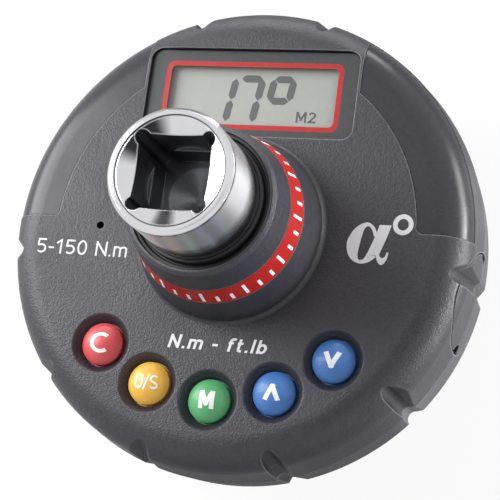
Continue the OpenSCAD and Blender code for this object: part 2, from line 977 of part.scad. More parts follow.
// Flat lead from a gauge to the underside of the board
module gauge_flex() {
    flex_w = 4;
    flex_t = 0.2;
    overlap = 3;
    start = waist_r + gauge_t + fit;
    color("#b5762c")
        rotate([0, 0, 135])
            translate([start, -flex_w / 2, z_board - board_t - flex_t])
                cube([board_hole_r + overlap - start, flex_w, flex_t]);
}

module detent_ball() {
    color("#c9cacc")
        translate([square_af / 2 + ball_proud - ball_d / 2, 0, ball_z])
            sphere(d = ball_d);
}

// Spring behind the ball, shown as the closed tube that its coils fill
module detent_spring() {
    wire = 0.5;
    outer = ball_d / 2 - 2 * fit;
    spring_l = square_af / 2 + ball_proud - ball_d;
    color("#8d8d90")
        ball_hole()
            translate([0, 0, fit])
                difference() {
                    cylinder(h = spring_l - 2 * fit, r = outer - wire);
                    translate([0, 0, -past])
                        cylinder(h = spring_l + 2 * past, r = outer - 2 * wire);
                }
}

module display_lens() {
    color("#7d8482")
        translate([0, display_y, z_face - lens_sink - lens_t])
            linear_extrude(lens_t)
                round_rect(lens_w - 2 * lens_gap, lens_h - 2 * lens_gap, lens_corner - lens_gap);
}

module lcd_panel() {
    color("#aeb2ab")
        translate([0, display_y, z_ceiling - lcd_t / 2])
            cube([lcd_w, lcd_h, lcd_t], center = true);
}

// Frame that holds the panel and its contact strips on the board,
// with its outer corners cut to the flat of the ceiling
module lcd_holder() {
    holder_h = board_drop - plate_t;
    strip_y = lcd_h / 2 - holder_t;
    flat_r = wall_r - side_t - inside_bevel;
    color("#d8d8d4")
        translate([0, display_y, z_board])
            difference() {
                intersection() {
                    translate([0, 0, holder_h / 2])
                        cube([lcd_w + 2 * holder_t, lcd_h + 2 * holder_t, holder_h], center = true);
                    translate([0, -display_y, -past])
                        cylinder(h = holder_h + 2 * past, r = flat_r);
                }
                translate([0, 0, holder_h - lcd_t / 2 + past / 2])
                    cube([lcd_w + 4 * fit, lcd_h + 4 * fit, lcd_t + past], center = true);
                cube([lcd_w - 4 * holder_t, lcd_h - 6 * holder_t, 4 * holder_h], center = true);
                for (side = [-1, 1])
                    translate([0, side * strip_y, 0])
                        cube([lcd_w - 2 * holder_t, holder_t + 4 * fit, 4 * holder_h], center = true);
            }
}

// Two rubber strips that connect the panel to the board
module contact_strips() {
    strip_h = board_drop - plate_t - lcd_t;
    color("#3a3a3c")
        for (side = [-1, 1])
            translate([0, display_y + side * (lcd_h / 2 - holder_t), z_board + strip_h / 2])
                cube([lcd_w - 2 * holder_t - 4 * fit, holder_t, strip_h], center = true);
}

// Board round the shaft, open where the battery lies and relieved at the posts
module main_board() {
    cell_room = sleeve_r + 4 * fit;
    color("#1f5c3a")
        translate([0, 0, z_board - board_t])
            linear_extrude(board_t)
                difference() {
                    circle(board_r);
                    circle(board_hole_r);
                    rotate(cell_angle)
                        translate([0, -cell_room])
                            square([body_r, 2 * cell_room]);
                    for (a = screw_angles)
                        rotate(a)
                            translate([screw_ring_r, 0])
                                circle(screw_head_d / 2 + 1.2);
                    for (p = board_posts)
                        translate(p)
                            circle(d = board_screw_d + 4 * fit);
                }
}

module board_screws() {
    head_h = 1.2;
    color("#b4b4b6")
        at_board_posts()
            translate([0, 0, z_board - board_t])
                socket_screw(board_screw_d, board_t + board_grip, board_head_d, head_h);
}

// Flat chip on the underside of the board
module chip(at, side, height) {
    translate([at[0], at[1], z_board - board_t - height / 2])
        cube([side, side, height], center = true);
}

module controller_chip() {
    color("#202022")
        chip(chip_at, chip_w, chip_h);
}

module angle_sensor() {
    color("#2c2c30")
        chip(sensor_at, sensor_w, sensor_h);
}

module buzzer() {
    bezel = 1;
    color("#19191b")
        translate([buzzer_at[0], buzzer_at[1], z_board])
            difference() {
                cylinder(h = buzzer_h, d = buzzer_d);
                translate([0, 0, buzzer_h - bezel])
                    cylinder(h = bezel + past, d = sound_hole_d);
            }
}

module signal_leds() {
    led_h = 1.8;
    color("#e8e6da")
        for (side = [0, 1], a = led_angles)
            mirror([side, 0, 0])
                rotate([0, 0, a])
                    translate([led_ring_r, 0, z_board + led_h / 2])
                        cube([led_w, led_w, led_h], center = true);
}

module right_light_window() {
    color("#3b3a3f")
        light_shell();
}

module left_light_window() {
    color("#3b3a3f")
        mirror([1, 0, 0])
            light_shell();
}

module key_switches() {
    hole_depth = key_travel + 1;
    color("#28282b")
        for (i = [0:4])
            at_key(i)
                translate([0, 0, z_board])
                    difference() {
                        translate([0, 0, switch_h / 2])
                            cube([switch_w, switch_w, switch_h], center = true);
                        translate([0, 0, switch_h - hole_depth])
                            cylinder(h = hole_depth + past, d = plunger_d + 2 * key_gap);
                    }
}

// Plunger of one switch, which moves with its key
module plunger(i) {
    sunk = 0.6;
    at_key(i)
        translate([0, 0, z_board + switch_h - sunk])
            cylinder(h = plunger_rise + sunk, d = plunger_d);
}

// Domed key with a rim under the face and a stem on its switch
module key_cap(i) {
    foot_r = key_r + 0.05;
    crown_r = (foot_r * foot_r + key_crown * key_crown) / (2 * key_crown);
    edge_z = z_face - key_drop;
    rest_gap = 0.1;
    at_key(i)
        rotate_extrude() {
            translate([0, z_ceiling - key_rim_t])
                square([key_r, edge_z - z_ceiling + key_rim_t]);
            translate([0, z_ceiling - key_rim_t])
                square([key_rim_r, key_rim_t - rest_gap]);
            translate([0, z_ceiling - key_rim_t - key_stem])
                square([plunger_d / 2, key_stem + key_rim_t / 2]);
            intersection() {
                translate([0, edge_z + key_crown - crown_r])
                    circle(crown_r);
                translate([0, edge_z - past])
                    square([key_r, key_crown + 2 * past]);
            }
        }
}

module key_clear() { color("#d23c3f") key_cap(0); }
module key_unit() { color("#eda32e") key_cap(1); }
module key_memory() { color("#3d9b57") key_cap(2); }
module key_up() { color("#2a64ac") key_cap(3); }
module key_down() { color("#2a64ac") key_cap(4); }

module plunger_clear() { color("#101012") plunger(0); }
module plunger_unit() { color("#101012") plunger(1); }
module plunger_memory() { color("#101012") plunger(2); }
module plunger_up() { color("#101012") plunger(3); }
module plunger_down() { color("#101012") plunger(4); }

module battery_cell() {
    color("#c9b458")
        along_cell()
            translate([0, 0, cell_start]) {
                cylinder(h = cell_l - button_l, r = cell_r);
                cylinder(h = cell_l, d = button_d);
            }
}

// Open tube for the cell, closed at its inner end
module battery_sleeve() {
    mouth = hatch_seat - seat_ring - fit;
    color("#37373a")
        along_cell()
            difference() {
                translate([0, 0, sleeve_start])
                    cylinder(h = mouth - sleeve_start, r = sleeve_r);
                translate([0, 0, sleeve_start + sleeve_t])
                    cylinder(h = body_r, r = sleeve_r - sleeve_t);
            }
}

// Dished spring plate between the sleeve's end and the cell
module inner_contact() {
    rise = contact_room - contact_t;
    hole_r = cell_r * 0.15;
    pad_r = cell_r * 0.4;
    foot_r = cell_r * 0.8;
    edge_r = cell_r * 0.95;
    color("#c4c5c8")
        along_cell()
            translate([0, 0, sleeve_start + sleeve_t])
                rotate_extrude()
                    polygon([
                        [hole_r, rise], [pad_r, rise], [foot_r, 0], [edge_r, 0],
                        [edge_r, contact_t], [foot_r, contact_t],
                        [pad_r, rise + contact_t], [hole_r, rise + contact_t]
                    ]);
}

// Round hatch that continues the rim's surface, with two pry notches in its edge
module battery_door() {
    no_bevel = 0.01;
    pry_r = 1.6;
    pry_depth = 1.4;
    color("#4b4a4e")
        difference() {
            intersection() {
                union() {
                    front_form(bevel = no_bevel);
                    back_form(bevel = no_bevel);
                }
                along_cell()
                    translate([0, 0, hatch_seat + hatch_seal_t])
                        cylinder(h = body_r, r = hatch_r);
            }
            front_notches();
            back_notches();
            for (side = [-1, 1])
                rotate([0, 0, cell_angle])
                    translate([body_r - draft, side * hatch_r, z_cell])
                        rotate([0, 90, 0])
                            translate([0, 0, -pry_depth])
                                cylinder(h = 2 * pry_depth, r = pry_r);
        }
}

module door_seal() {
    color("#1d1d1f")
        along_cell()
            translate([0, 0, hatch_seat])
                difference() {
                    cylinder(h = hatch_seal_t, r = hatch_r);
                    translate([0, 0, -past])
                        cylinder(h = hatch_seal_t + 2 * past, r = cell_r + 2 * cell_gap);
                }
}

module outer_contact() {
    color("#c4c5c8")
        along_cell()
            translate([0, 0, cell_end])
                cylinder(h = contact_t, d = contact_d);
}

front_cover();
rear_cover();
case_gasket();
case_screws();
red_band();
shaft_seal();
drive_shaft();
lock_bush();
back_bush();
retaining_ring();
strain_gauges();
gauge_flex();
detent_ball();
detent_spring();
display_lens();
lcd_panel();
lcd_holder();
contact_strips();
main_board();
board_screws();
controller_chip();
angle_sensor();
buzzer();
signal_leds();
left_light_window();
right_light_window();
key_switches();
key_clear();
key_unit();
key_memory();
key_up();
key_down();
plunger_clear();
plunger_unit();
plunger_memory();
plunger_up();
plunger_down();
battery_cell();
battery_sleeve();
inner_contact();
battery_door();
door_seal();
outer_contact();
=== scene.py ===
"""Looks of the torque angle gauge: finishes for every piece, printed marks, the display and the studio."""

import math

import bpy
import numpy as np
from mathutils import Matrix, Vector


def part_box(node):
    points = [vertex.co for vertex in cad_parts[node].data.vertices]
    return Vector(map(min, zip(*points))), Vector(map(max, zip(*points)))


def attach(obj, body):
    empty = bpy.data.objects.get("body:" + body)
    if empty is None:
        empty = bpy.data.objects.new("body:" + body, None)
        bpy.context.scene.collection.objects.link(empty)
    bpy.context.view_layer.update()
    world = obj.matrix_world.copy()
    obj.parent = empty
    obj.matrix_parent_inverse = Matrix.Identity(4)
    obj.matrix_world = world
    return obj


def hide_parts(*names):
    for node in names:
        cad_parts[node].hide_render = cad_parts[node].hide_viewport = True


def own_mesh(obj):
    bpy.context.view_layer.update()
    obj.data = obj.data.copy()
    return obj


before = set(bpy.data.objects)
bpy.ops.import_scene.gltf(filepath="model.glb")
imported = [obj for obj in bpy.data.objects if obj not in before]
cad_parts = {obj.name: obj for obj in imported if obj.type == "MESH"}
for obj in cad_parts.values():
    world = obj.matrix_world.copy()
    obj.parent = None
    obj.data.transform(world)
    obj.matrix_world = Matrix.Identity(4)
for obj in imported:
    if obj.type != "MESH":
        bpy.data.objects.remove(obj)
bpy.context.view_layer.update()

# Sizes of the part: lengths in metres, the pitch of the keys in degrees
MM = 0.001
FACE_Z = 44.6 * MM
BOSS_FOOT_R = 17.38 * MM
BOSS_TAPER = 0.2
BAND_LOW = 8.0 * MM
BAND_HEIGHT = 4.9 * MM
BAND_MIDDLE_R = BOSS_FOOT_R - BOSS_TAPER * (BAND_LOW + BAND_HEIGHT / 2)
KEY_ARC = 31.5 * MM
KEY_PITCH = 22.0
KEY_R = 3.95 * MM
KEY_CROWN = 1.7 * MM
KEY_DROP = 1.1 * MM
DISPLAY_Y = 26.5 * MM
LCD_TOP = 42.2 * MM
HEAD_TOP = 79.4 * MM
MOUTH_R = 9.7 * MM
PRINT_FILM = 0.03 * MM
CELL_TURN = math.radians(-11.0)
CELL_SHOULDER = 39.7 * MM

# Wear and painted highlight on the covers' outer edges, painted shade in their hollows: how far each reaches,
# and how strong it is
EDGE_WEAR_AND_HIGHLIGHT_REACH = 0.35 * MM
EDGE_WEAR_AND_HIGHLIGHT_SHARE = 0.8
RUB_POLISH = 0.14
PAINTED_SHADE_REACH = 4.0 * MM
PAINTED_SHADE_SHARE = 0.8
PAINTED_SHADE_COLOUR = "#141316"

WHITE = (1.0, 1.0, 1.0, 1.0)


def srgb(code):
    """Linear colour of a hex code: each channel is undone from its display curve."""
    channels = np.array([int(code[i : i + 2], 16) for i in (1, 3, 5)]) / 255.0
    linear = np.where(channels <= 0.04045, channels / 12.92, ((channels + 0.055) / 1.055) ** 2.4)
    return (*[float(c) for c in linear], 1.0)


# Node helpers


def add_node(tree, kind, **settings):
    """A new node: a setting named in_N fills its input number N, any other is one of its properties."""
    node = tree.nodes.new(kind)
    for key, value in settings.items():
        if key.startswith("in_"):
            node.inputs[int(key[3:])].default_value = value
        else:
            setattr(node, key, value)
    return node


def maths(tree, operation, first, second=None):
    """A Math node fed with links or numbers."""
    node = add_node(tree, "ShaderNodeMath", operation=operation)
    for slot, value in ((0, first), (1, second)):
        if value is None:
            continue
        if isinstance(value, (int, float)):
            node.inputs[slot].default_value = value
        else:
            tree.links.new(value, node.inputs[slot])
    return node.outputs[0]


def between(tree, value, low, high, from_low=0.0, from_high=1.0):
    """A value taken from one range to another, and held at its ends."""
    node = add_node(tree, "ShaderNodeMapRange", in_1=from_low, in_2=from_high, in_3=low, in_4=high)
    tree.links.new(value, node.inputs[0])
    return node.outputs[0]


def toward(tree, way, direction):
    """How far a way points in a fixed direction: their dot product."""
    node = add_node(tree, "ShaderNodeVectorMath", operation="DOT_PRODUCT")
    tree.links.new(way, node.inputs[0])
    node.inputs[1].default_value = direction
    return node.outputs["Value"]


def noise(tree, place, scale, detail, rough):
    """A noise over a place, with its scale from a link."""
    node = tree.nodes.new("ShaderNodeTexNoise")
    node.inputs["Detail"].default_value = detail
    node.inputs["Roughness"].default_value = rough
    tree.links.new(place, node.inputs["Vector"])
    tree.links.new(scale, node.inputs["Scale"])
    return node.outputs[0]


def new_group(name, inputs, outputs):
    """A shader node group with float or vector sockets, and its two end nodes."""
    tree = bpy.data.node_groups.new(name, "ShaderNodeTree")
    for socket, kind, value in inputs:
        made = tree.interface.new_socket(socket, in_out="INPUT", socket_type=kind)
        if value is not None:
            made.default_value = value
    for socket, kind in outputs:
        tree.interface.new_socket(socket, in_out="OUTPUT", socket_type=kind)
    return tree, tree.nodes.new("NodeGroupInput"), tree.nodes.new("NodeGroupOutput")


def moulded_grain_group():
    """Fine spark texture of a mould: two sizes of noise give a shade and a height,
    and a slow cloud gives the polish left by handling."""
    tree, start, end = new_group(
        "moulded_grain",
        [("Place", "NodeSocketVector", None), ("Grains per metre", "NodeSocketFloat", 3000.0)],
        [("Shade", "NodeSocketFloat"), ("Height", "NodeSocketFloat"), ("Polish", "NodeSocketFloat")],
    )
    fine_share = 0.65
    coarse_share = 0.35
    coarse_scale = 0.35
    cloud_scale = 0.025
    place = start.outputs["Place"]
    scale = start.outputs["Grains per metre"]
    fine = noise(tree, place, scale, detail=2.0, rough=0.6)
    coarse = noise(tree, place, maths(tree, "MULTIPLY", scale, coarse_scale), detail=1.0, rough=0.5)
    cloud = noise(tree, place, maths(tree, "MULTIPLY", scale, cloud_scale), detail=3.0, rough=0.5)
    height = maths(tree, "ADD", maths(tree, "MULTIPLY", fine, fine_share),
                   maths(tree, "MULTIPLY", coarse, coarse_share))
    tree.links.new(between(tree, height, 0.0, 1.0, 0.32, 0.68), end.inputs["Shade"])
    tree.links.new(height, end.inputs["Height"])
    tree.links.new(between(tree, cloud, 0.0, 1.0, 0.35, 0.7), end.inputs["Polish"])
    return tree


def rounded_panel_group():
    """Distance of a place from a rounded rectangle in X and Y, in metres, negative inside:
    the length of what is left of |p - middle| beyond the straight part, less the corner radius."""
    tree, start, end = new_group(
        "rounded_panel",
        [("Place", "NodeSocketVector", None), ("Middle Y", "NodeSocketFloat", 0.0),
         ("Half width", "NodeSocketFloat", 0.01), ("Half height", "NodeSocketFloat", 0.01),
         ("Corner", "NodeSocketFloat", 0.001)],
        [("Distance", "NodeSocketFloat")],
    )
    place = tree.nodes.new("ShaderNodeSeparateXYZ")
    tree.links.new(start.outputs["Place"], place.inputs[0])
    corner = start.outputs["Corner"]

    def beyond(coordinate, half):
        straight = maths(tree, "SUBTRACT", half, corner)
        return maths(tree, "SUBTRACT", maths(tree, "ABSOLUTE", coordinate), straight)

    from_middle = maths(tree, "SUBTRACT", place.outputs["Y"], start.outputs["Middle Y"])
    out_x = beyond(place.outputs["X"], start.outputs["Half width"])
    out_y = beyond(from_middle, start.outputs["Half height"])
    side_x = maths(tree, "MAXIMUM", out_x, 0.0)
    side_y = maths(tree, "MAXIMUM", out_y, 0.0)
    outside = maths(tree, "SQRT", maths(tree, "ADD", maths(tree, "MULTIPLY", side_x, side_x),
                                        maths(tree, "MULTIPLY", side_y, side_y)))
    inside = maths(tree, "MINIMUM", maths(tree, "MAXIMUM", out_x, out_y), 0.0)
    distance = maths(tree, "SUBTRACT", maths(tree, "ADD", outside, inside), corner)
    tree.links.new(distance, end.inputs["Distance"])
    return tree


GRAIN = moulded_grain_group()
PANEL = rounded_panel_group()


# Finishes


def new_material(name, **fixed):
    """A node material with fixed values set: the material, its tree, its shader and the Object coordinate."""
    material = bpy.data.materials.new(name)
    material.use_nodes = True
    tree = material.node_tree
    shader = tree.nodes["Principled BSDF"]
    for key, value in fixed.items():
        shader.inputs[key.replace("_", " ").title().replace("Ior", "IOR")].default_value = value
    place = tree.nodes.new("ShaderNodeTexCoord").outputs["Object"]
    return material, tree, shader, place


def place_grain(tree, place, per_metre):
    """The grain group put into a material at its own scale."""
    grain = add_node(tree, "ShaderNodeGroup", node_tree=GRAIN)
    tree.links.new(place, grain.inputs["Place"])
    grain.inputs["Grains per metre"].default_value = per_metre
    return grain


def mix_colour(tree, factor, first, second):
    """A colour mix of two colours, each a link or four numbers. A Mix node's colours are its inputs 6 and 7
    and its output 2."""
    node = add_node(tree, "ShaderNodeMix", data_type="RGBA")
    tree.links.new(factor, node.inputs["Factor"])
    for slot, value in ((6, first), (7, second)):
        if isinstance(value, tuple):
            node.inputs[slot].default_value = value
        else:
            tree.links.new(value, node.inputs[slot])
    return node.outputs[2]


def add_bump(tree, shader, height, depth, edge=0.0, where=None):
    """A Bump node of that depth in metres on the shader's normal, over edges that look rounded by a radius,
    everywhere or only where a mask is one. A Mix node's vectors are its inputs 4 and 5 and its output 1."""
    bump = tree.nodes.new("ShaderNodeBump")
    bump.inputs["Strength"].default_value = 1.0
    if edge > 0.0:
        soft = add_node(tree, "ShaderNodeBevel", samples=4)
        soft.inputs["Radius"].default_value = edge
        normal = soft.outputs[0]
        if where is not None:
            plain = tree.nodes.new("ShaderNodeNewGeometry").outputs["Normal"]
            blend = add_node(tree, "ShaderNodeMix", data_type="VECTOR")
            tree.links.new(where, blend.inputs[0])
            tree.links.new(plain, blend.inputs[4])
            tree.links.new(normal, blend.inputs[5])
            normal = blend.outputs[1]
        tree.links.new(normal, bump.inputs["Normal"])
    bump.inputs["Distance"].default_value = depth
    tree.links.new(height, bump.inputs["Height"])
    tree.links.new(bump.outputs[0], shader.inputs["Normal"])


def nearness(tree, reach, inside):
    """One close to an edge and zero away from it: the share of short rays that meet the piece's own surface.
    Rays into the piece find its outer edges, and rays out of it find its hollows."""
    share_at_edge = 0.55
    share_away = 0.92
    rays = add_node(tree, "ShaderNodeAmbientOcclusion", samples=8, inside=inside, only_local=True)
    rays.inputs["Distance"].default_value = reach
    return between(tree, rays.outputs["AO"], 1.0, 0.0, share_at_edge, share_away)


def grained(name, dark, light, rough, per_metre=3000.0, depth=0.02 * MM, edge=0.0, edge_wear_and_highlight=None, **fixed):
    """A finish whose colour runs from dark to light and whose roughness runs over a range with the grain.
    Where an edge colour is given, outer edges are made smoother and paler, the paleness partly wear and
    partly a painted highlight, and hollows are darkened by a painted shade."""
    material, tree, shader, place = new_material(name, **fixed)
    grain = place_grain(tree, place, per_metre)
    colour = mix_colour(tree, grain.outputs["Shade"], srgb(dark), srgb(light))
    dull = between(tree, grain.outputs["Polish"], rough[1], rough[0])
    if edge_wear_and_highlight:
        # Pale outer edges: partly wear, partly a painted highlight standing in for edges that catch the lamps
        wear_and_highlight_mask = nearness(tree, EDGE_WEAR_AND_HIGHLIGHT_REACH, True)
        # Painted shade in hollows such as the key wells: darker where short rays out of the piece meet its
        # own surface
        painted_shade_mask = maths(tree, "MULTIPLY", nearness(tree, PAINTED_SHADE_REACH, False), PAINTED_SHADE_SHARE)
        shaded = mix_colour(tree, painted_shade_mask, colour, srgb(PAINTED_SHADE_COLOUR))
        colour = mix_colour(tree, maths(tree, "MULTIPLY", wear_and_highlight_mask, EDGE_WEAR_AND_HIGHLIGHT_SHARE), shaded, srgb(edge_wear_and_highlight))
        dull = maths(tree, "SUBTRACT", dull, maths(tree, "MULTIPLY", wear_and_highlight_mask, RUB_POLISH))
    tree.links.new(colour, shader.inputs["Base Color"])
    tree.links.new(dull, shader.inputs["Roughness"])
    add_bump(tree, shader, grain.outputs["Height"], depth, edge=edge)
    return material


def axis_place(tree, place):
    """Distance of a place from the shaft's axis, and its height."""
    axes = tree.nodes.new("ShaderNodeSeparateXYZ")
    tree.links.new(place, axes.inputs[0])
    x, y, z = axes.outputs
    square = maths(tree, "ADD", maths(tree, "MULTIPLY", x, x), maths(tree, "MULTIPLY", y, y))
    return maths(tree, "SQRT", square), z


def socket_mask(tree, radius, height):
    """One inside the drive socket, zero outside: lower than the cone of its mouth and above its floor."""
    slope = 0.42
    depth = 18.0 * MM
    soft_edge = (0.02 * MM, 0.12 * MM)
    fall = maths(tree, "MULTIPLY", maths(tree, "SUBTRACT", MOUTH_R, radius), slope)
    cone = maths(tree, "SUBTRACT", HEAD_TOP, fall)
    under = between(tree, maths(tree, "SUBTRACT", cone, height), 0.0, 1.0, *soft_edge)
    inner = maths(tree, "LESS_THAN", radius, MOUTH_R)
    above = maths(tree, "GREATER_THAN", height, HEAD_TOP - depth)
    return maths(tree, "MULTIPLY", under, maths(tree, "MULTIPLY", inner, above))


def chrome_finish():
    """Chrome: polished on the end ring, its cone and the running surface of the seal, satin on the turned
    side, and the inside of the drive socket left as dark phosphated steel. The turning lines run round
    the shaft, so that a reflection is drawn out across them."""
    material, tree, shader, place = new_material("shaft_chrome", metallic=1.0, anisotropic=0.85,
                                                 anisotropic_rotation=0.25)
    # The satin side starts over these radii, and lies between these heights
    side_r = (10.2 * MM, 10.9 * MM)
    side_top = (HEAD_TOP - 1.4 * MM, HEAD_TOP - 0.7 * MM)
    side_foot = (HEAD_TOP - 13.0 * MM, HEAD_TOP - 8.5 * MM)
    satin_dull = 0.25
    steel_dull = 0.2
    sharp_lip = 0.3 * MM
    grain = place_grain(tree, place, 5000.0)
    radius, height = axis_place(tree, place)
    inside = socket_mask(tree, radius, height)
    outer = between(tree, radius, 0.0, 1.0, *side_r)
    lower = between(tree, height, 1.0, 0.0, *side_top)
    upper = between(tree, height, 0.0, 1.0, *side_foot)
    satin = maths(tree, "MULTIPLY", outer, maths(tree, "MULTIPLY", lower, upper))
    plated = mix_colour(tree, grain.outputs["Polish"], srgb("#d2d2d5"), srgb("#dadadd"))
    steel = mix_colour(tree, grain.outputs["Shade"], srgb("#68696d"), srgb("#7e7f83"))
    tree.links.new(mix_colour(tree, inside, plated, steel), shader.inputs["Base Color"])
    polished = between(tree, grain.outputs["Polish"], 0.12, 0.08)
    dulled = maths(tree, "ADD", maths(tree, "MULTIPLY", inside, steel_dull),
                   maths(tree, "MULTIPLY", satin, satin_dull))
    tree.links.new(maths(tree, "ADD", polished, dulled), shader.inputs["Roughness"])
    from_mouth = maths(tree, "ABSOLUTE", maths(tree, "SUBTRACT", radius, MOUTH_R))
    clear = maths(tree, "GREATER_THAN", from_mouth, sharp_lip)
    add_bump(tree, shader, grain.outputs["Height"], depth=0.002 * MM, edge=0.4 * MM, where=clear)
    return material


def panel_distance(tree, place, half_w, half_h, corner, middle_y):
    """The rounded panel group placed with its own sizes."""
    panel = add_node(tree, "ShaderNodeGroup", node_tree=PANEL)
    tree.links.new(place, panel.inputs["Place"])
    panel.inputs["Middle Y"].default_value = middle_y
    panel.inputs["Half width"].default_value = half_w
    panel.inputs["Half height"].default_value = half_h
    panel.inputs["Corner"].default_value = corner
    return panel.outputs[0]


def lens_finish():
    """Acrylic lens, back printed: a dark border, a red frame line, and a clear window inside it."""
    material, tree, shader, place = new_material("lens_clear", roughness=0.28, specular_ior_level=0.3)
    outer = panel_distance(tree, place, half_w=17.3 * MM, half_h=6.65 * MM, corner=1.5 * MM,
                           middle_y=26.15 * MM)
    inner = panel_distance(tree, place, half_w=16.35 * MM, half_h=5.72 * MM, corner=0.9 * MM,
                           middle_y=26.18 * MM)
    edge = 0.05 * MM
    window_alpha = 0.06
    in_frame = between(tree, outer, 1.0, 0.0, -edge, edge)
    in_window = between(tree, inner, 1.0, 0.0, -edge, edge)
    grain = place_grain(tree, place, 2500.0)
    border = mix_colour(tree, grain.outputs["Shade"], srgb("#46484a"), srgb("#4e5052"))
    line = mix_colour(tree, grain.outputs["Shade"], srgb("#b32e2e"), srgb("#bd3838"))
    clear = mix_colour(tree, grain.outputs["Polish"], srgb("#c4c8c4"), srgb("#ccd0cc"))
    back_print = mix_colour(tree, in_frame, border, line)
    tree.links.new(mix_colour(tree, in_window, back_print, clear), shader.inputs["Base Color"])
    tree.links.new(between(tree, in_window, 1.0, window_alpha), shader.inputs["Alpha"])
    return material


def display_finish():
    """Reflective liquid crystal glass: a pale grey field with a painted shadow of the recess edge, darker
    towards its edges and most along the top.
    """
    material, tree, shader, place = new_material("lcd_glass", roughness=0.45)
    # Painted shadow of the recess edge: the field darkens over the last stretch inside this panel, which sits
    # lower than the display so the shadow is strongest along the top
    painted_shadow_middle = DISPLAY_Y - 0.8 * MM
    painted_shadow_reach = 2.4 * MM
    grain = place_grain(tree, place, 1800.0)
    field = mix_colour(tree, grain.outputs["Shade"], srgb("#a7aaa4"), srgb("#adb0aa"))
    seal = panel_distance(tree, place, half_w=17.0 * MM, half_h=6.6 * MM, corner=1.0 * MM,
                          middle_y=painted_shadow_middle)
    shade = between(tree, seal, 0.0, 1.0, -painted_shadow_reach, 0.0)
    tree.links.new(mix_colour(tree, shade, field, srgb("#8d9089")), shader.inputs["Base Color"])
    return material


def key_finish(name, dark, light):
    """Soft touch key: a matt skin over a strong colour, a little smoother where fingers polish it."""
    return grained(name, dark, light, (0.38, 0.5), per_metre=2500.0, depth=0.006 * MM, coat_weight=0.15)


def cell_finish():
    """Sleeved battery cell: along its own direction, a dark sleeve with a bright band, and a steel end."""
    material, tree, shader, place = new_material("cell_wrap")
    band_start = 31.0 * MM
    steel_start = CELL_SHOULDER - 0.05 * MM
    along = toward(tree, place, (math.cos(CELL_TURN), math.sin(CELL_TURN), 0.0))
    band = maths(tree, "GREATER_THAN", along, band_start)
    steel = maths(tree, "GREATER_THAN", along, steel_start)
    grain = place_grain(tree, place, 1500.0)
    sleeve = mix_colour(tree, grain.outputs["Shade"], srgb("#24262a"), srgb("#2b2d32"))
    wrap = mix_colour(tree, band, sleeve, srgb("#c08a3c"))
    tree.links.new(mix_colour(tree, steel, wrap, srgb("#b4b5b7")), shader.inputs["Base Color"])
    tree.links.new(steel, shader.inputs["Metallic"])
    tree.links.new(between(tree, grain.outputs["Polish"], 0.35, 0.25), shader.inputs["Roughness"])
    return material


def board_finish():
    """Green solder mask over copper: a grid of tracks shows as a slightly paler green."""
    material, tree, shader, place = new_material("board_green", coat_weight=0.3)
    tracks = tree.nodes.new("ShaderNodeTexBrick")
    tracks.inputs["Color1"].default_value = srgb("#1d5a36")
    tracks.inputs["Color2"].default_value = srgb("#1f6139")
    tracks.inputs["Mortar"].default_value = srgb("#338a52")
    tracks.inputs["Mortar Size"].default_value = 0.03
    tracks.inputs["Scale"].default_value = 260.0
    tree.links.new(place, tracks.inputs["Vector"])
    grain = place_grain(tree, place, 1200.0)
    tree.links.new(tracks.outputs[0], shader.inputs["Base Color"])
    tree.links.new(between(tree, grain.outputs["Polish"], 0.45, 0.3), shader.inputs["Roughness"])
    return material


FINISH = {
    # The pale edge colour of the covers is partly wear and partly a painted highlight
    "cover_plastic": grained("cover_plastic", "#2b2a30", "#3b3a43", (0.34, 0.46), 3400.0, 0.14 * MM,
                             edge=0.4 * MM, edge_wear_and_highlight="#77767c", specular_ior_level=0.5),
    "seal_rubber": grained("seal_rubber", "#131315", "#1d1d20", (0.4, 0.55), 2500.0, 0.01 * MM),
    "screw_steel": grained("screw_steel", "#8c8e92", "#a3a5a8", (0.25, 0.35), 2500.0, 0.004 * MM,
                           metallic=1.0),
    "spring_steel": grained("spring_steel", "#9a9ca0", "#b2b4b7", (0.2, 0.32), 2500.0, 0.003 * MM,
                            metallic=1.0),
    "band_red": grained("band_red", "#a61b17", "#b2241f", (0.36, 0.46), 2500.0, 0.004 * MM,
                        specular_ior_level=0.3),
    "shaft_chrome": chrome_finish(),
    "ball_steel": grained("ball_steel", "#b8babd", "#cacccf", (0.08, 0.14), 3000.0, 0.001 * MM,
                          metallic=1.0),
    "bush_plastic": grained("bush_plastic", "#26272a", "#323338", (0.4, 0.5), 2500.0, 0.01 * MM),
    "gauge_foil": grained("gauge_foil", "#b5803a", "#c9974d", (0.3, 0.45), 3500.0, 0.004 * MM),
    "lens_clear": lens_finish(),
    "lcd_glass": display_finish(),
    "holder_white": grained("holder_white", "#cfcfca", "#dadad6", (0.45, 0.55), 2500.0, 0.008 * MM),
    "board_green": board_finish(),
    "chip_black": grained("chip_black", "#1b1c1f", "#292a2e", (0.5, 0.62), 3500.0, 0.012 * MM),
    "led_white": grained("led_white", "#d9d4b4", "#e8e4cb", (0.25, 0.35), 2500.0, 0.004 * MM),
    "window_smoke": grained("window_smoke", "#2e2d33", "#37363c", (0.22, 0.3), 2600.0, 0.008 * MM,
                            edge=0.2 * MM, specular_ior_level=0.36),
    "key_red": key_finish("key_red", "#cf4a4c", "#d85658"),
    "key_amber": key_finish("key_amber", "#eab23f", "#f0bd50"),
    "key_green": key_finish("key_green", "#4ea267", "#5aad72"),
    "key_blue": key_finish("key_blue", "#3a6fb5", "#467bc0"),
    "cell_wrap": cell_finish(),
    "contact_plate": grained("contact_plate", "#b9b4a4", "#cdc9bb", (0.2, 0.32), 2500.0, 0.003 * MM,
                             metallic=1.0),
}
PRINT_WHITE = grained("print_white", "#e2e3e8", "#edeef2", (0.4, 0.5), 4000.0, 0.004 * MM)
LEGEND_WHITE = grained("legend_white", "#f2f2f2", "#fafafa", (0.4, 0.5), 4000.0, 0.004 * MM)
SEGMENT_GREY = grained("segment_grey", "#373b3f", "#414549", (0.4, 0.5), 4000.0, 0.002 * MM)

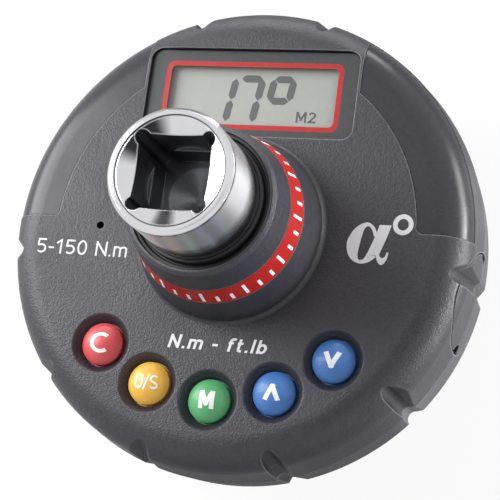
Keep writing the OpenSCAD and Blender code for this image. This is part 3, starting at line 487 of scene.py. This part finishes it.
NODE_SLOT = {
    "cover_plastic": ["front_cover", "rear_cover", "battery_door"],
    "seal_rubber": ["case_gasket", "shaft_seal", "door_seal"],
    "screw_steel": ["case_screws", "board_screws"],
    "spring_steel": ["retaining_ring", "detent_spring", "inner_contact"],
    "band_red": ["red_band"],
    "shaft_chrome": ["drive_shaft"],
    "ball_steel": ["detent_ball"],
    "bush_plastic": ["lock_bush", "back_bush", "battery_sleeve", "plunger_clear", "plunger_unit",
                     "plunger_memory", "plunger_up", "plunger_down", "contact_strips"],
    "gauge_foil": ["strain_gauges", "gauge_flex"],
    "lens_clear": ["display_lens"],
    "lcd_glass": ["lcd_panel"],
    "holder_white": ["lcd_holder"],
    "board_green": ["main_board"],
    "chip_black": ["controller_chip", "angle_sensor", "buzzer", "key_switches"],
    "led_white": ["signal_leds"],
    "window_smoke": ["left_light_window", "right_light_window"],
    "key_red": ["key_clear"],
    "key_amber": ["key_unit"],
    "key_green": ["key_memory"],
    "key_blue": ["key_up", "key_down"],
    "cell_wrap": ["battery_cell"],
    "contact_plate": ["outer_contact"],
}
for slot_name, node_names in NODE_SLOT.items():
    for node_name in node_names:
        node_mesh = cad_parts[node_name].data
        node_mesh.materials.clear()
        node_mesh.materials.append(FINISH[slot_name])


# Strokes of the marks, as pairs of rails in the plane


def arc(middle, radii, start, stop, steps=24):
    """Points on an ellipse from one angle to another, in degrees."""
    turn = np.radians(np.linspace(start, stop, steps))
    return np.column_stack([middle[0] + radii[0] * np.cos(turn), middle[1] + radii[1] * np.sin(turn)])


def finer(path, steps=6):
    """Each straight run of a path cut into equal parts, with its corners kept."""
    path = np.asarray(path, float)
    share = np.linspace(0.0, 1.0, steps, endpoint=False)[None, :, None]
    runs = path[:-1, None, :] * (1.0 - share) + path[1:, None, :] * share
    return np.vstack([runs.reshape(-1, 2), path[-1:]])


def flowing(points, steps=12):
    """A smooth path through the points: a cubic on each run whose slopes come from the neighbours."""
    p = np.asarray(points, float)
    q = np.vstack([2 * p[0] - p[1], p, 2 * p[-1] - p[-2]])
    t = np.linspace(0.0, 1.0, steps, endpoint=False)[None, :, None]
    a, b, c, d = (q[i : len(q) - 3 + i, None, :] for i in range(4))
    runs = 0.5 * (2 * b + (c - a) * t + (2 * a - 5 * b + 4 * c - d) * t**2 + (3 * b - a - 3 * c + d) * t**3)
    return np.vstack([runs.reshape(-1, 2), p[-1:]])


def rails(path, width, closed=False):
    """Left and right rail of a stroke: the path moved half its width along its normal,
    further at a corner, so that the sides stay straight."""
    sharpest = 0.45
    path = np.asarray(path, float)
    width = np.broadcast_to(np.asarray(width, float), (len(path),))
    runs = np.diff(np.vstack([path, path[:1]]) if closed else path, axis=0)
    runs = runs / np.linalg.norm(runs, axis=1, keepdims=True)
    before = np.roll(runs, 1, axis=0) if closed else np.vstack([runs[:1], runs])
    after = runs if closed else np.vstack([runs, runs[-1:]])
    mean = before + after
    mean = mean / np.linalg.norm(mean, axis=1, keepdims=True)
    stretch = 1.0 / np.maximum(np.sum(mean * after, axis=1), sharpest)
    side = np.column_stack([-mean[:, 1], mean[:, 0]]) * (0.5 * width * stretch)[:, None]
    return path + side, path - side, closed


def letter(sign, bold):
    """Width of one sign with cap height 1, and its strokes: paths, each with a word for closed or not.
    Paths keep half a stroke inside the sign's box, and small letters have their own height."""
    h = bold / 2
    low = 0.72
    signs = {
        "C": (0.82, [(arc((0.46, 0.5), (0.46 - h, 0.5 - h), 50, 310), False)]),
        "U": (0.66, [(np.vstack([[[h, 1.0]], arc((0.33, 0.33), (0.33 - h, 0.33 - h), 180, 360),
                                 [[0.66 - h, 1.0]]]), False)]),
        "S": (0.62, [(np.vstack([arc((0.31, 0.74), (0.31 - h, 0.26 - h / 2), 35, 265, 18),
                                 arc((0.31, 0.27), (0.31 - h, 0.27 - h), 80, -150, 18)]), False)]),
        "M": (0.84, [([[h, 0.0], [h, 1.0]], False), ([[0.84 - h, 0.0], [0.84 - h, 1.0]], False),
                     ([[h, 1.0], [0.46, 0.18]], False), ([[0.84 - h, 1.0], [0.38, 0.18]], False)]),
        "N": (0.74, [([[h, 0.0], [h, 1.0]], False), ([[0.74 - h, 0.0], [0.74 - h, 1.0]], False),
                     ([[h, 1.0 - h], [0.74 - h, h]], False)]),
        "m": (0.92, [([[h, 0.0], [h, low]], False),
                     (np.vstack([arc((h + 0.19, low - 0.2), (0.19, 0.2 - h), 180, 0, 12),
                                 [[h + 0.38, 0.0]]]), False),
                     (np.vstack([arc((h + 0.58, low - 0.2), (0.19, 0.2 - h), 180, 0, 12),
                                 [[h + 0.77, 0.0]]]), False)]),
        "f": (0.4, [(np.vstack([arc((0.34, 0.8), (0.2, 0.2 - h), 60, 180, 10), [[0.14, 0.0]]]), False),
                    ([[0.0, low - h], [0.34, low - h]], False)]),
        "t": (0.4, [(np.vstack([[[0.14, 0.94]], arc((0.3, 0.17), (0.16, 0.17 - h), 180, 290, 10)]), False),
                    ([[0.0, low - h], [0.36, low - h]], False)]),
        "l": (bold, [([[h, 0.0], [h, 1.0]], False)]),
        "b": (0.62, [([[h, 0.0], [h, 1.0]], False),
                     (arc((0.31, low / 2), (0.31 - h, low / 2 - h), 0, 360, 25)[:-1], True)]),
        "0": (0.64, [(arc((0.32, 0.5), (0.32 - h, 0.5 - h), 0, 360, 33)[:-1], True)]),
        "1": (0.46, [([[0.0, 0.72], [0.3, 1.0 - h], [0.3, 0.0]], False)]),
        "5": (0.62, [(np.vstack([[[0.58, 1.0 - h], [0.1, 1.0 - h], [0.07, 0.56]],
                                 arc((0.29, 0.32), (0.33 - h, 0.32 - h), 125, -140, 20)]), False)]),
        "2": (0.62, [(np.vstack([arc((0.31, 0.7), (0.31 - h, 0.3 - h), 165, -35, 16),
                                 [[h, h], [0.62, h]]]), False)]),
        "/": (0.4, [([[0.02, -0.06], [0.38, 1.06]], False)]),
        "-": (0.36, [([[0.0, 0.4], [0.36, 0.4]], False)]),
        ".": (bold, [([[0.0, h], [bold, h]], False)]),
        " ": (0.26, []),
        "^": (0.9, [([[h, 0.0], [0.49, 1.0]], False), ([[0.9 - h, 0.0], [0.41, 1.0]], False)]),
        "v": (0.9, [([[h, 1.0], [0.49, 0.0]], False), ([[0.9 - h, 1.0], [0.41, 0.0]], False)]),
    }
    return signs[sign]


def lettering(words, middle, height, bold, stretch=1.0, slant=0.0, gap=0.16):
    """Rails of a line of signs, centred on a point: each sign follows the last by its width and a gap,
    and leans by the slant."""
    strokes = []
    pen = 0.0
    for sign in words:
        wide, paths = letter(sign, bold)
        for path, closed in paths:
            moved = np.asarray(path, float) + [pen, 0.0]
            moved = moved if closed else finer(moved)
            strokes.append(rails(moved, bold, closed))
        pen += wide + gap
    length = pen - gap

    def settle(rail):
        x = (rail[:, 0] - length / 2) * stretch + (rail[:, 1] - 0.5) * slant
        return np.column_stack([x, rail[:, 1] - 0.5]) * height + np.asarray(middle, float)

    return [(settle(left), settle(right), closed) for left, right, closed in strokes]


# Carriers of the marks: each gives places on its surface and the normals there


def on_level(height):
    """A flat top at one height: points keep X and Y, and the normal is +Z."""

    def place_on(points):
        place = np.column_stack([points, np.full(len(points), height)])
        return place, np.tile([0.0, 0.0, 1.0], (len(points), 1))

    return place_on


def on_key(middle):
    """The domed crown of a key: a sphere through its edge and its top, its normal along the radius."""
    crown_r = (KEY_R**2 + KEY_CROWN**2) / (2 * KEY_CROWN)
    ball = np.array([middle[0], middle[1], FACE_Z - KEY_DROP + KEY_CROWN - crown_r])

    def place_on(points):
        flat = points - ball[:2]
        rise = np.sqrt(crown_r**2 - np.sum(flat**2, axis=1))
        normal = np.column_stack([flat, rise]) / crown_r
        return ball + normal * crown_r, normal

    return place_on


def on_band(points):
    """The red band: the first number runs round the cone of the boss, the second up it."""
    lean = math.atan(BOSS_TAPER)
    height = BAND_LOW + points[:, 1]
    radius = BOSS_FOOT_R - BOSS_TAPER * height
    turn = points[:, 0] / BAND_MIDDLE_R
    place = np.column_stack([radius * np.cos(turn), radius * np.sin(turn), FACE_Z + height])
    normal = np.column_stack([np.cos(turn) * math.cos(lean), np.sin(turn) * math.cos(lean),
                              np.full(len(turn), math.sin(lean))])
    return place, normal


def printed(name, strokes, carrier, material, body):
    """Thin closed film of the strokes on its carrier: four corners across each stroke,
    two just under the surface and two a film's thickness above it, carried along the rails.
    Strokes that cross differ a little in height, so that no two tops lie in one plane."""
    under = -0.4 * PRINT_FILM
    level_step = 0.12
    levels = 5
    points = []
    faces = []
    first = 0
    for number, (left, right, closed) in enumerate(strokes):
        left_on, left_normal = carrier(left)
        right_on, right_normal = carrier(right)
        over = PRINT_FILM * (1.0 + level_step * (number % levels))
        ring = np.stack([left_on + under * left_normal, left_on + over * left_normal,
                         right_on + over * right_normal, right_on + under * right_normal], axis=1)
        count = len(left)
        index = first + np.arange(count * 4).reshape(count, 4)
        ahead = np.roll(index, -1, axis=0) if closed else index[1:]
        here = index if closed else index[:-1]
        side = np.stack([here, np.roll(here, -1, axis=1), np.roll(ahead, -1, axis=1), ahead], axis=-1)
        faces.extend(side.reshape(-1, 4).tolist())
        if not closed:
            faces.append(index[0][::-1].tolist())
            faces.append(index[-1].tolist())
        points.append(ring.reshape(-1, 3))
        first += count * 4
    mesh = bpy.data.meshes.new(name)
    mesh.from_pydata(np.vstack(points).tolist(), [], faces)
    mesh.validate()
    piece = bpy.data.objects.new(name, mesh)
    bpy.context.scene.collection.objects.link(piece)
    mesh.materials.append(material)
    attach(piece, body)


# Legends of the keys: key, finish, sign, height in millimetres, boldness and stretch

LEGENDS = [
    ("clear", "key_red", "C", 3.8, 0.17, 1.2),
    ("unit", "key_amber", "U/S", 2.5, 0.14, 0.98),
    ("memory", "key_green", "M", 3.15, 0.24, 1.08),
    ("up", "key_blue", "^", 2.8, 0.24, 1.3),
    ("down", "key_blue", "v", 2.8, 0.24, 1.35),
]
MIDDLE_KEY = 2
for number, (key_name, key_slot, sign, size, bold, stretch) in enumerate(LEGENDS):
    angle = math.radians(-90.0 + KEY_PITCH * (number - MIDDLE_KEY))
    key_middle = np.array([math.cos(angle), math.sin(angle)]) * KEY_ARC
    marks = lettering(sign, key_middle, size * MM, bold, stretch, gap=0.06)
    printed("legend_" + key_name, marks, on_key(key_middle), LEGEND_WHITE, "key_" + key_name)

# Marks printed on the face


def angle_sign(corner, wide, high):
    """The Greek letter for an angle, with thick and thin strokes drawn by their two edges, and its
    degree ring."""
    ring_middle = (31.75 * MM, 2.5 * MM)
    ring_radii = (1.42 * MM, 1.5 * MM)
    ring_bold = 0.85 * MM
    bowl_out = flowing([[0.70, 0.70], [0.60, 0.90], [0.42, 1.0], [0.18, 0.87], [0.03, 0.62], [0.0, 0.43],
                        [0.06, 0.2], [0.2, 0.05], [0.38, 0.0], [0.56, 0.05], [0.72, 0.18]])
    bowl_in = flowing([[0.62, 0.66], [0.55, 0.83], [0.46, 0.91], [0.37, 0.83], [0.33, 0.64], [0.30, 0.45],
                       [0.28, 0.25], [0.30, 0.12], [0.36, 0.085], [0.44, 0.13], [0.50, 0.26]])
    stem_left = finer([[0.72, 0.955], [0.66, 0.72], [0.50, 0.24]], 5)
    stem_right = finer([[1.0, 0.955], [0.92, 0.66], [0.77, 0.2]], 5)
    hook_out = flowing([[0.70, 0.24], [0.735, 0.12], [0.8, 0.015], [0.88, 0.0], [0.95, 0.09],
                        [0.985, 0.2], [0.995, 0.3]])
    hook_in = flowing([[0.785, 0.3], [0.785, 0.24], [0.82, 0.175], [0.87, 0.16], [0.91, 0.185],
                       [0.935, 0.23], [0.95, 0.3]])
    scale = np.array([wide, high])
    edges = [(bowl_in, bowl_out), (stem_right, stem_left), (hook_in, hook_out)]
    strokes = [(left * scale + corner, right * scale + corner, False) for left, right in edges]
    ring = arc(ring_middle, ring_radii, 0, 360, 41)[:-1]
    strokes.append(rails(ring, ring_bold, True))
    return strokes


on_face = on_level(FACE_Z)
range_marks = lettering("5-150 N.m", middle=(-28.4 * MM, -5.0 * MM), height=2.8 * MM, bold=0.115,
                        stretch=1.08)
printed("range_print", range_marks, on_face, PRINT_WHITE, "housing")
unit_marks = lettering("N.m - ft.lb", middle=(0.6 * MM, -21.3 * MM), height=2.5 * MM, bold=0.17, stretch=1.14,
                       slant=0.2, gap=0.2)
printed("unit_print", unit_marks, on_face, PRINT_WHITE, "housing")
angle_marks = angle_sign(corner=np.array([21.95, -5.0]) * MM, wide=7.75 * MM, high=7.6 * MM)
printed("angle_print", angle_marks, on_face, PRINT_WHITE, "housing")

# Marks on the red band


def band_ticks():
    """Angle graduation round the red band: a short white mark every ten degrees, a long one every thirty."""
    pitch = 10.0
    ticks = 36
    foot = 0.7 * MM
    bold = 0.55 * MM
    strokes = []
    for step in range(ticks):
        along = math.radians(pitch * step) * BAND_MIDDLE_R
        high = 3.0 * MM if step % 3 == 0 else 1.8 * MM
        path = finer([[along, foot], [along, foot + high]], 3)
        strokes.append(rails(path, bold))
    return strokes


printed("band_ticks", band_ticks(), on_band, LEGEND_WHITE, "housing")

# Characters of the display


def segment(start, stop, width):
    """One bar of a numeral: full width along its middle, drawn to a point at both ends."""
    tip = 0.12
    run = (stop - start) / np.linalg.norm(stop - start)
    path = np.array([start, start + run * width * 0.5, stop - run * width * 0.5, stop])
    return rails(path, np.array([tip, 1.0, 1.0, tip]) * width)


def numeral(bars, foot, wide, high, bold):
    """The lit bars of a leaning seven bar numeral, each between two corners of its box
    and shrunk a little at its ends."""
    lean = 0.14
    shrink = 0.08
    corners = {"a": ((0, 2), (1, 2)), "b": ((1, 2), (1, 1)), "c": ((1, 1), (1, 0)),
               "f": ((0, 2), (0, 1)), "g": ((0, 1), (1, 1))}
    strokes = []
    for bar in bars:
        ends = np.array(corners[bar], float) * [wide, high / 2]
        ends[:, 0] += ends[:, 1] * lean
        run = (ends[1] - ends[0]) / np.linalg.norm(ends[1] - ends[0])
        start = foot + ends[0] + run * shrink * bold
        stop = foot + ends[1] - run * shrink * bold
        strokes.append(segment(start, stop, bold))
    return strokes


# Lit bars, left foot and width in millimetres: a 1, a 7 and a raised degree sign
NUMERALS = [("bc", -4.9, 0.0), ("abc", -3.9, 4.2), ("abfg", 2.6, 3.8)]
NUMERAL_FOOT = 21.5
NUMERAL_HEIGHT = 8.5 * MM
NUMERAL_BOLD = 1.4 * MM
display_marks = []
for bars, left_foot, wide in NUMERALS:
    foot = np.array([left_foot, NUMERAL_FOOT]) * MM
    display_marks += numeral(bars, foot, wide * MM, NUMERAL_HEIGHT, NUMERAL_BOLD)
display_marks += lettering("M2", middle=(10.7 * MM, 22.7 * MM), height=2.1 * MM, bold=0.16, stretch=1.12)
printed("display_marks", display_marks, on_level(LCD_TOP), SEGMENT_GREY, "housing")


# Spring behind the detent ball


def detent_coil():
    """Coil spring in place of its plain sleeve: a circle of wire carried along a helix
    whose first and last half turns lie flat."""
    low, high = (np.array(corner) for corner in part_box("detent_spring"))
    middle = (low + high) / 2
    length = high[0] - low[0]
    wire_r = 0.19 * MM
    coil_r = (high[1] - low[1]) / 2 - wire_r
    turns = 3.5
    flat_turn = 0.5
    steps = 169
    sides = 10
    share = np.linspace(0.0, 1.0, steps)
    angle = 2 * np.pi * turns * share
    rise = np.clip((share * turns - flat_turn) / (turns - 2 * flat_turn), 0.0, 1.0)
    outward = np.column_stack([np.zeros_like(angle), np.cos(angle), np.sin(angle)])
    path = np.array([low[0] + wire_r, middle[1], middle[2]]) + coil_r * outward
    path[:, 0] += (length - 2 * wire_r) * rise
    along = np.gradient(path, axis=0)
    along = along / np.linalg.norm(along, axis=1, keepdims=True)
    across = np.cross(along, outward)
    across = across / np.linalg.norm(across, axis=1, keepdims=True)
    outward = np.cross(across, along)
    turn = np.linspace(0.0, 2 * np.pi, sides, endpoint=False)[None, :, None]
    circle = np.cos(turn) * outward[:, None, :] + np.sin(turn) * across[:, None, :]
    skin = path[:, None, :] + wire_r * circle
    index = np.arange(steps * sides).reshape(steps, sides)
    here = index[:-1]
    ahead = index[1:]
    faces = np.stack([here, np.roll(here, -1, axis=1), np.roll(ahead, -1, axis=1), ahead], axis=-1)
    ends = [index[0][::-1].tolist(), index[-1].tolist()]
    mesh = bpy.data.meshes.new("detent_coil")
    mesh.from_pydata(skin.reshape(-1, 3).tolist(), [], faces.reshape(-1, 4).tolist() + ends)
    mesh.validate()
    mesh.materials.append(FINISH["spring_steel"])
    coil = bpy.data.objects.new("detent_coil", mesh)
    bpy.context.scene.collection.objects.link(coil)
    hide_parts("detent_spring")
    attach(coil, "housing")
    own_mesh(coil)


detent_coil()

# Camera at the photograph's angle

VIEW_AZIMUTH = math.radians(51.57)
VIEW_HEIGHT = math.radians(67.33)
VIEW_ROLL = math.radians(7.7)
VIEW_PLACE = (0.09816, -0.07822, 0.3318)
back = Vector((math.sin(VIEW_AZIMUTH) * math.cos(VIEW_HEIGHT),
               -math.cos(VIEW_AZIMUTH) * math.cos(VIEW_HEIGHT),
               math.sin(VIEW_HEIGHT)))
level_right = Vector((0.0, 1.0, 0.0)).cross(back).normalized()
level_up = back.cross(level_right)
right = math.cos(VIEW_ROLL) * level_right + math.sin(VIEW_ROLL) * level_up
up = -math.sin(VIEW_ROLL) * level_right + math.cos(VIEW_ROLL) * level_up
turned = Matrix((right, up, back)).transposed().to_4x4()

camera_data = bpy.data.cameras.new("camera")
camera_data.sensor_width = 36.0
camera_data.lens = 124.25
camera_data.clip_start = 0.01
camera_data.clip_end = 50.0
camera = bpy.data.objects.new("camera", camera_data)
camera.matrix_world = Matrix.Translation(VIEW_PLACE) @ turned
bpy.context.scene.collection.objects.link(camera)
bpy.context.scene.camera = camera


# Studio


def soft_box(name, place, size, power, aim=(0.0, 0.0, 0.045)):
    """A rectangular lamp that looks at the gauge."""
    data = bpy.data.lights.new(name, "AREA")
    data.shape = "RECTANGLE"
    data.size = size[0]
    data.size_y = size[1]
    data.energy = power
    lamp = bpy.data.objects.new(name, data)
    lamp.location = place
    lamp.rotation_euler = (Vector(aim) - Vector(place)).to_track_quat("-Z", "Y").to_euler()
    bpy.context.scene.collection.objects.link(lamp)


soft_box("left_box", place=(-0.25, 0.085, 0.23), size=(0.16, 0.3), power=1.32)
soft_box("right_box", place=(0.36, 0.01, 0.022), size=(0.3, 0.04), power=1.0, aim=(0.0, 0.0, 0.03))
soft_box("corner_box", place=(0.325, 0.15, 0.06), size=(0.2, 0.1), power=0.6)
soft_box("back_box", place=(-0.04, 0.36, 0.1), size=(0.3, 0.1), power=0.6)


def seen_white(tree):
    """One for camera, glossy and transmission rays, zero for the rest."""
    rays = tree.nodes.new("ShaderNodeLightPath")
    shiny = maths(tree, "MAXIMUM", rays.outputs["Is Glossy Ray"], rays.outputs["Is Transmission Ray"])
    return maths(tree, "MAXIMUM", rays.outputs["Is Camera Ray"], shiny)


def heading(azimuth, height):
    """Direction at an azimuth from +X and a height above the floor, both in degrees."""
    turn = math.radians(azimuth)
    rise = math.radians(height)
    return (math.cos(rise) * math.cos(turn), math.cos(rise) * math.sin(turn), math.sin(rise))


# Dark places of the studio that the metal mirrors: direction, and the angles where each fades out and is full
DARK_PATCHES = [
    (heading(-55.0, 74.0), math.radians(27.0), math.radians(15.0)),
    (heading(113.0, 27.0), math.radians(9.0), math.radians(3.0)),
]
PATCH_COLOUR = (0.03, 0.03, 0.034, 1.0)
FILL_LIGHT = 0.5


def studio_world():
    """White to the camera, white with soft dark patches to reflections, a plain soft light to the rest."""
    world = bpy.data.worlds.new("studio")
    world.use_nodes = True
    tree = world.node_tree
    light = tree.nodes["Background"]
    light.inputs["Color"].default_value = WHITE
    light.inputs["Strength"].default_value = FILL_LIGHT
    backdrop = tree.nodes.new("ShaderNodeBackground")
    backdrop.inputs["Strength"].default_value = 1.0
    way = tree.nodes.new("ShaderNodeTexCoord").outputs["Generated"]
    shade = WHITE
    for direction, rim, core in DARK_PATCHES:
        patch = between(tree, toward(tree, way, direction), 0.0, 1.0, math.cos(rim), math.cos(core))
        shade = mix_colour(tree, patch, shade, PATCH_COLOUR)
    seen = tree.nodes.new("ShaderNodeLightPath").outputs["Is Camera Ray"]
    tree.links.new(mix_colour(tree, seen, shade, WHITE), backdrop.inputs["Color"])
    mix = tree.nodes.new("ShaderNodeMixShader")
    tree.links.new(seen_white(tree), mix.inputs[0])
    tree.links.new(light.outputs[0], mix.inputs[1])
    tree.links.new(backdrop.outputs[0], mix.inputs[2])
    tree.links.new(mix.outputs[0], tree.nodes["World Output"].inputs[0])
    bpy.context.scene.world = world


def mirrored_floor(tree, place, reach):
    """Brightness of the floor in reflections: a white card with a hard edge on the right of the gauge,
    a softer light on the left and grey between them. The cosine of the angle from the card's middle
    is the place along it over the distance."""
    card_middle = heading(-4.0, 0.0)
    card_edge = (math.cos(math.radians(42.0)), math.cos(math.radians(38.0)))
    left_fade = (-0.85, -0.2)
    grey = 0.35
    nearby = maths(tree, "DIVIDE", toward(tree, place, card_middle), maths(tree, "MAXIMUM", reach, MM))
    card = between(tree, nearby, grey, 1.0, *card_edge)
    left = between(tree, nearby, 1.0, 0.0, *left_fade)
    return maths(tree, "MAXIMUM", card, left)


def floor_sheet():
    """A wide flat grid under the gauge, lit as a pale floor near it and lifted to white further out
    where it is seen, with a white card on its right. From below it lets the view through."""
    half = 3.0
    cells = 8
    lines = cells + 1
    line = np.linspace(-half, half, lines)
    x, y = np.meshgrid(line, line, indexing="ij")
    points = np.column_stack([x.ravel(), y.ravel(), np.zeros(x.size)])
    cell = np.arange(cells)
    corner = (cell[:, None] * lines + cell[None, :]).ravel()
    faces = np.column_stack([corner, corner + lines, corner + lines + 1, corner + 1])
    mesh = bpy.data.meshes.new("floor")
    mesh.from_pydata(points.tolist(), [], faces.tolist())
    material, tree, paper, place = new_material("floor", base_color=(0.9, 0.9, 0.9, 1.0), roughness=0.9)
    lift_share = (0.9, 1.0)
    lift_reach = (0.06, 0.3)
    reach, _ = axis_place(tree, place)
    lift = between(tree, reach, *lift_share, *lift_reach)
    seen = tree.nodes.new("ShaderNodeLightPath").outputs["Is Camera Ray"]
    glow = tree.nodes.new("ShaderNodeEmission")
    tree.links.new(maths(tree, "MAXIMUM", seen, mirrored_floor(tree, place, reach)), glow.inputs["Strength"])
    lit = tree.nodes.new("ShaderNodeMixShader")
    tree.links.new(maths(tree, "MULTIPLY", seen_white(tree), lift), lit.inputs[0])
    tree.links.new(paper.outputs[0], lit.inputs[1])
    tree.links.new(glow.outputs[0], lit.inputs[2])
    through = tree.nodes.new("ShaderNodeMixShader")
    tree.links.new(tree.nodes.new("ShaderNodeNewGeometry").outputs["Backfacing"], through.inputs[0])
    tree.links.new(lit.outputs[0], through.inputs[1])
    tree.links.new(tree.nodes.new("ShaderNodeBsdfTransparent").outputs[0], through.inputs[2])
    tree.links.new(through.outputs[0], tree.nodes["Material Output"].inputs[0])
    mesh.materials.append(material)
    floor = bpy.data.objects.new("floor", mesh)
    bpy.context.scene.collection.objects.link(floor)


studio_world()
floor_sheet()
bpy.context.scene.view_settings.view_transform = "Standard"

bpy.context.view_layer.update()
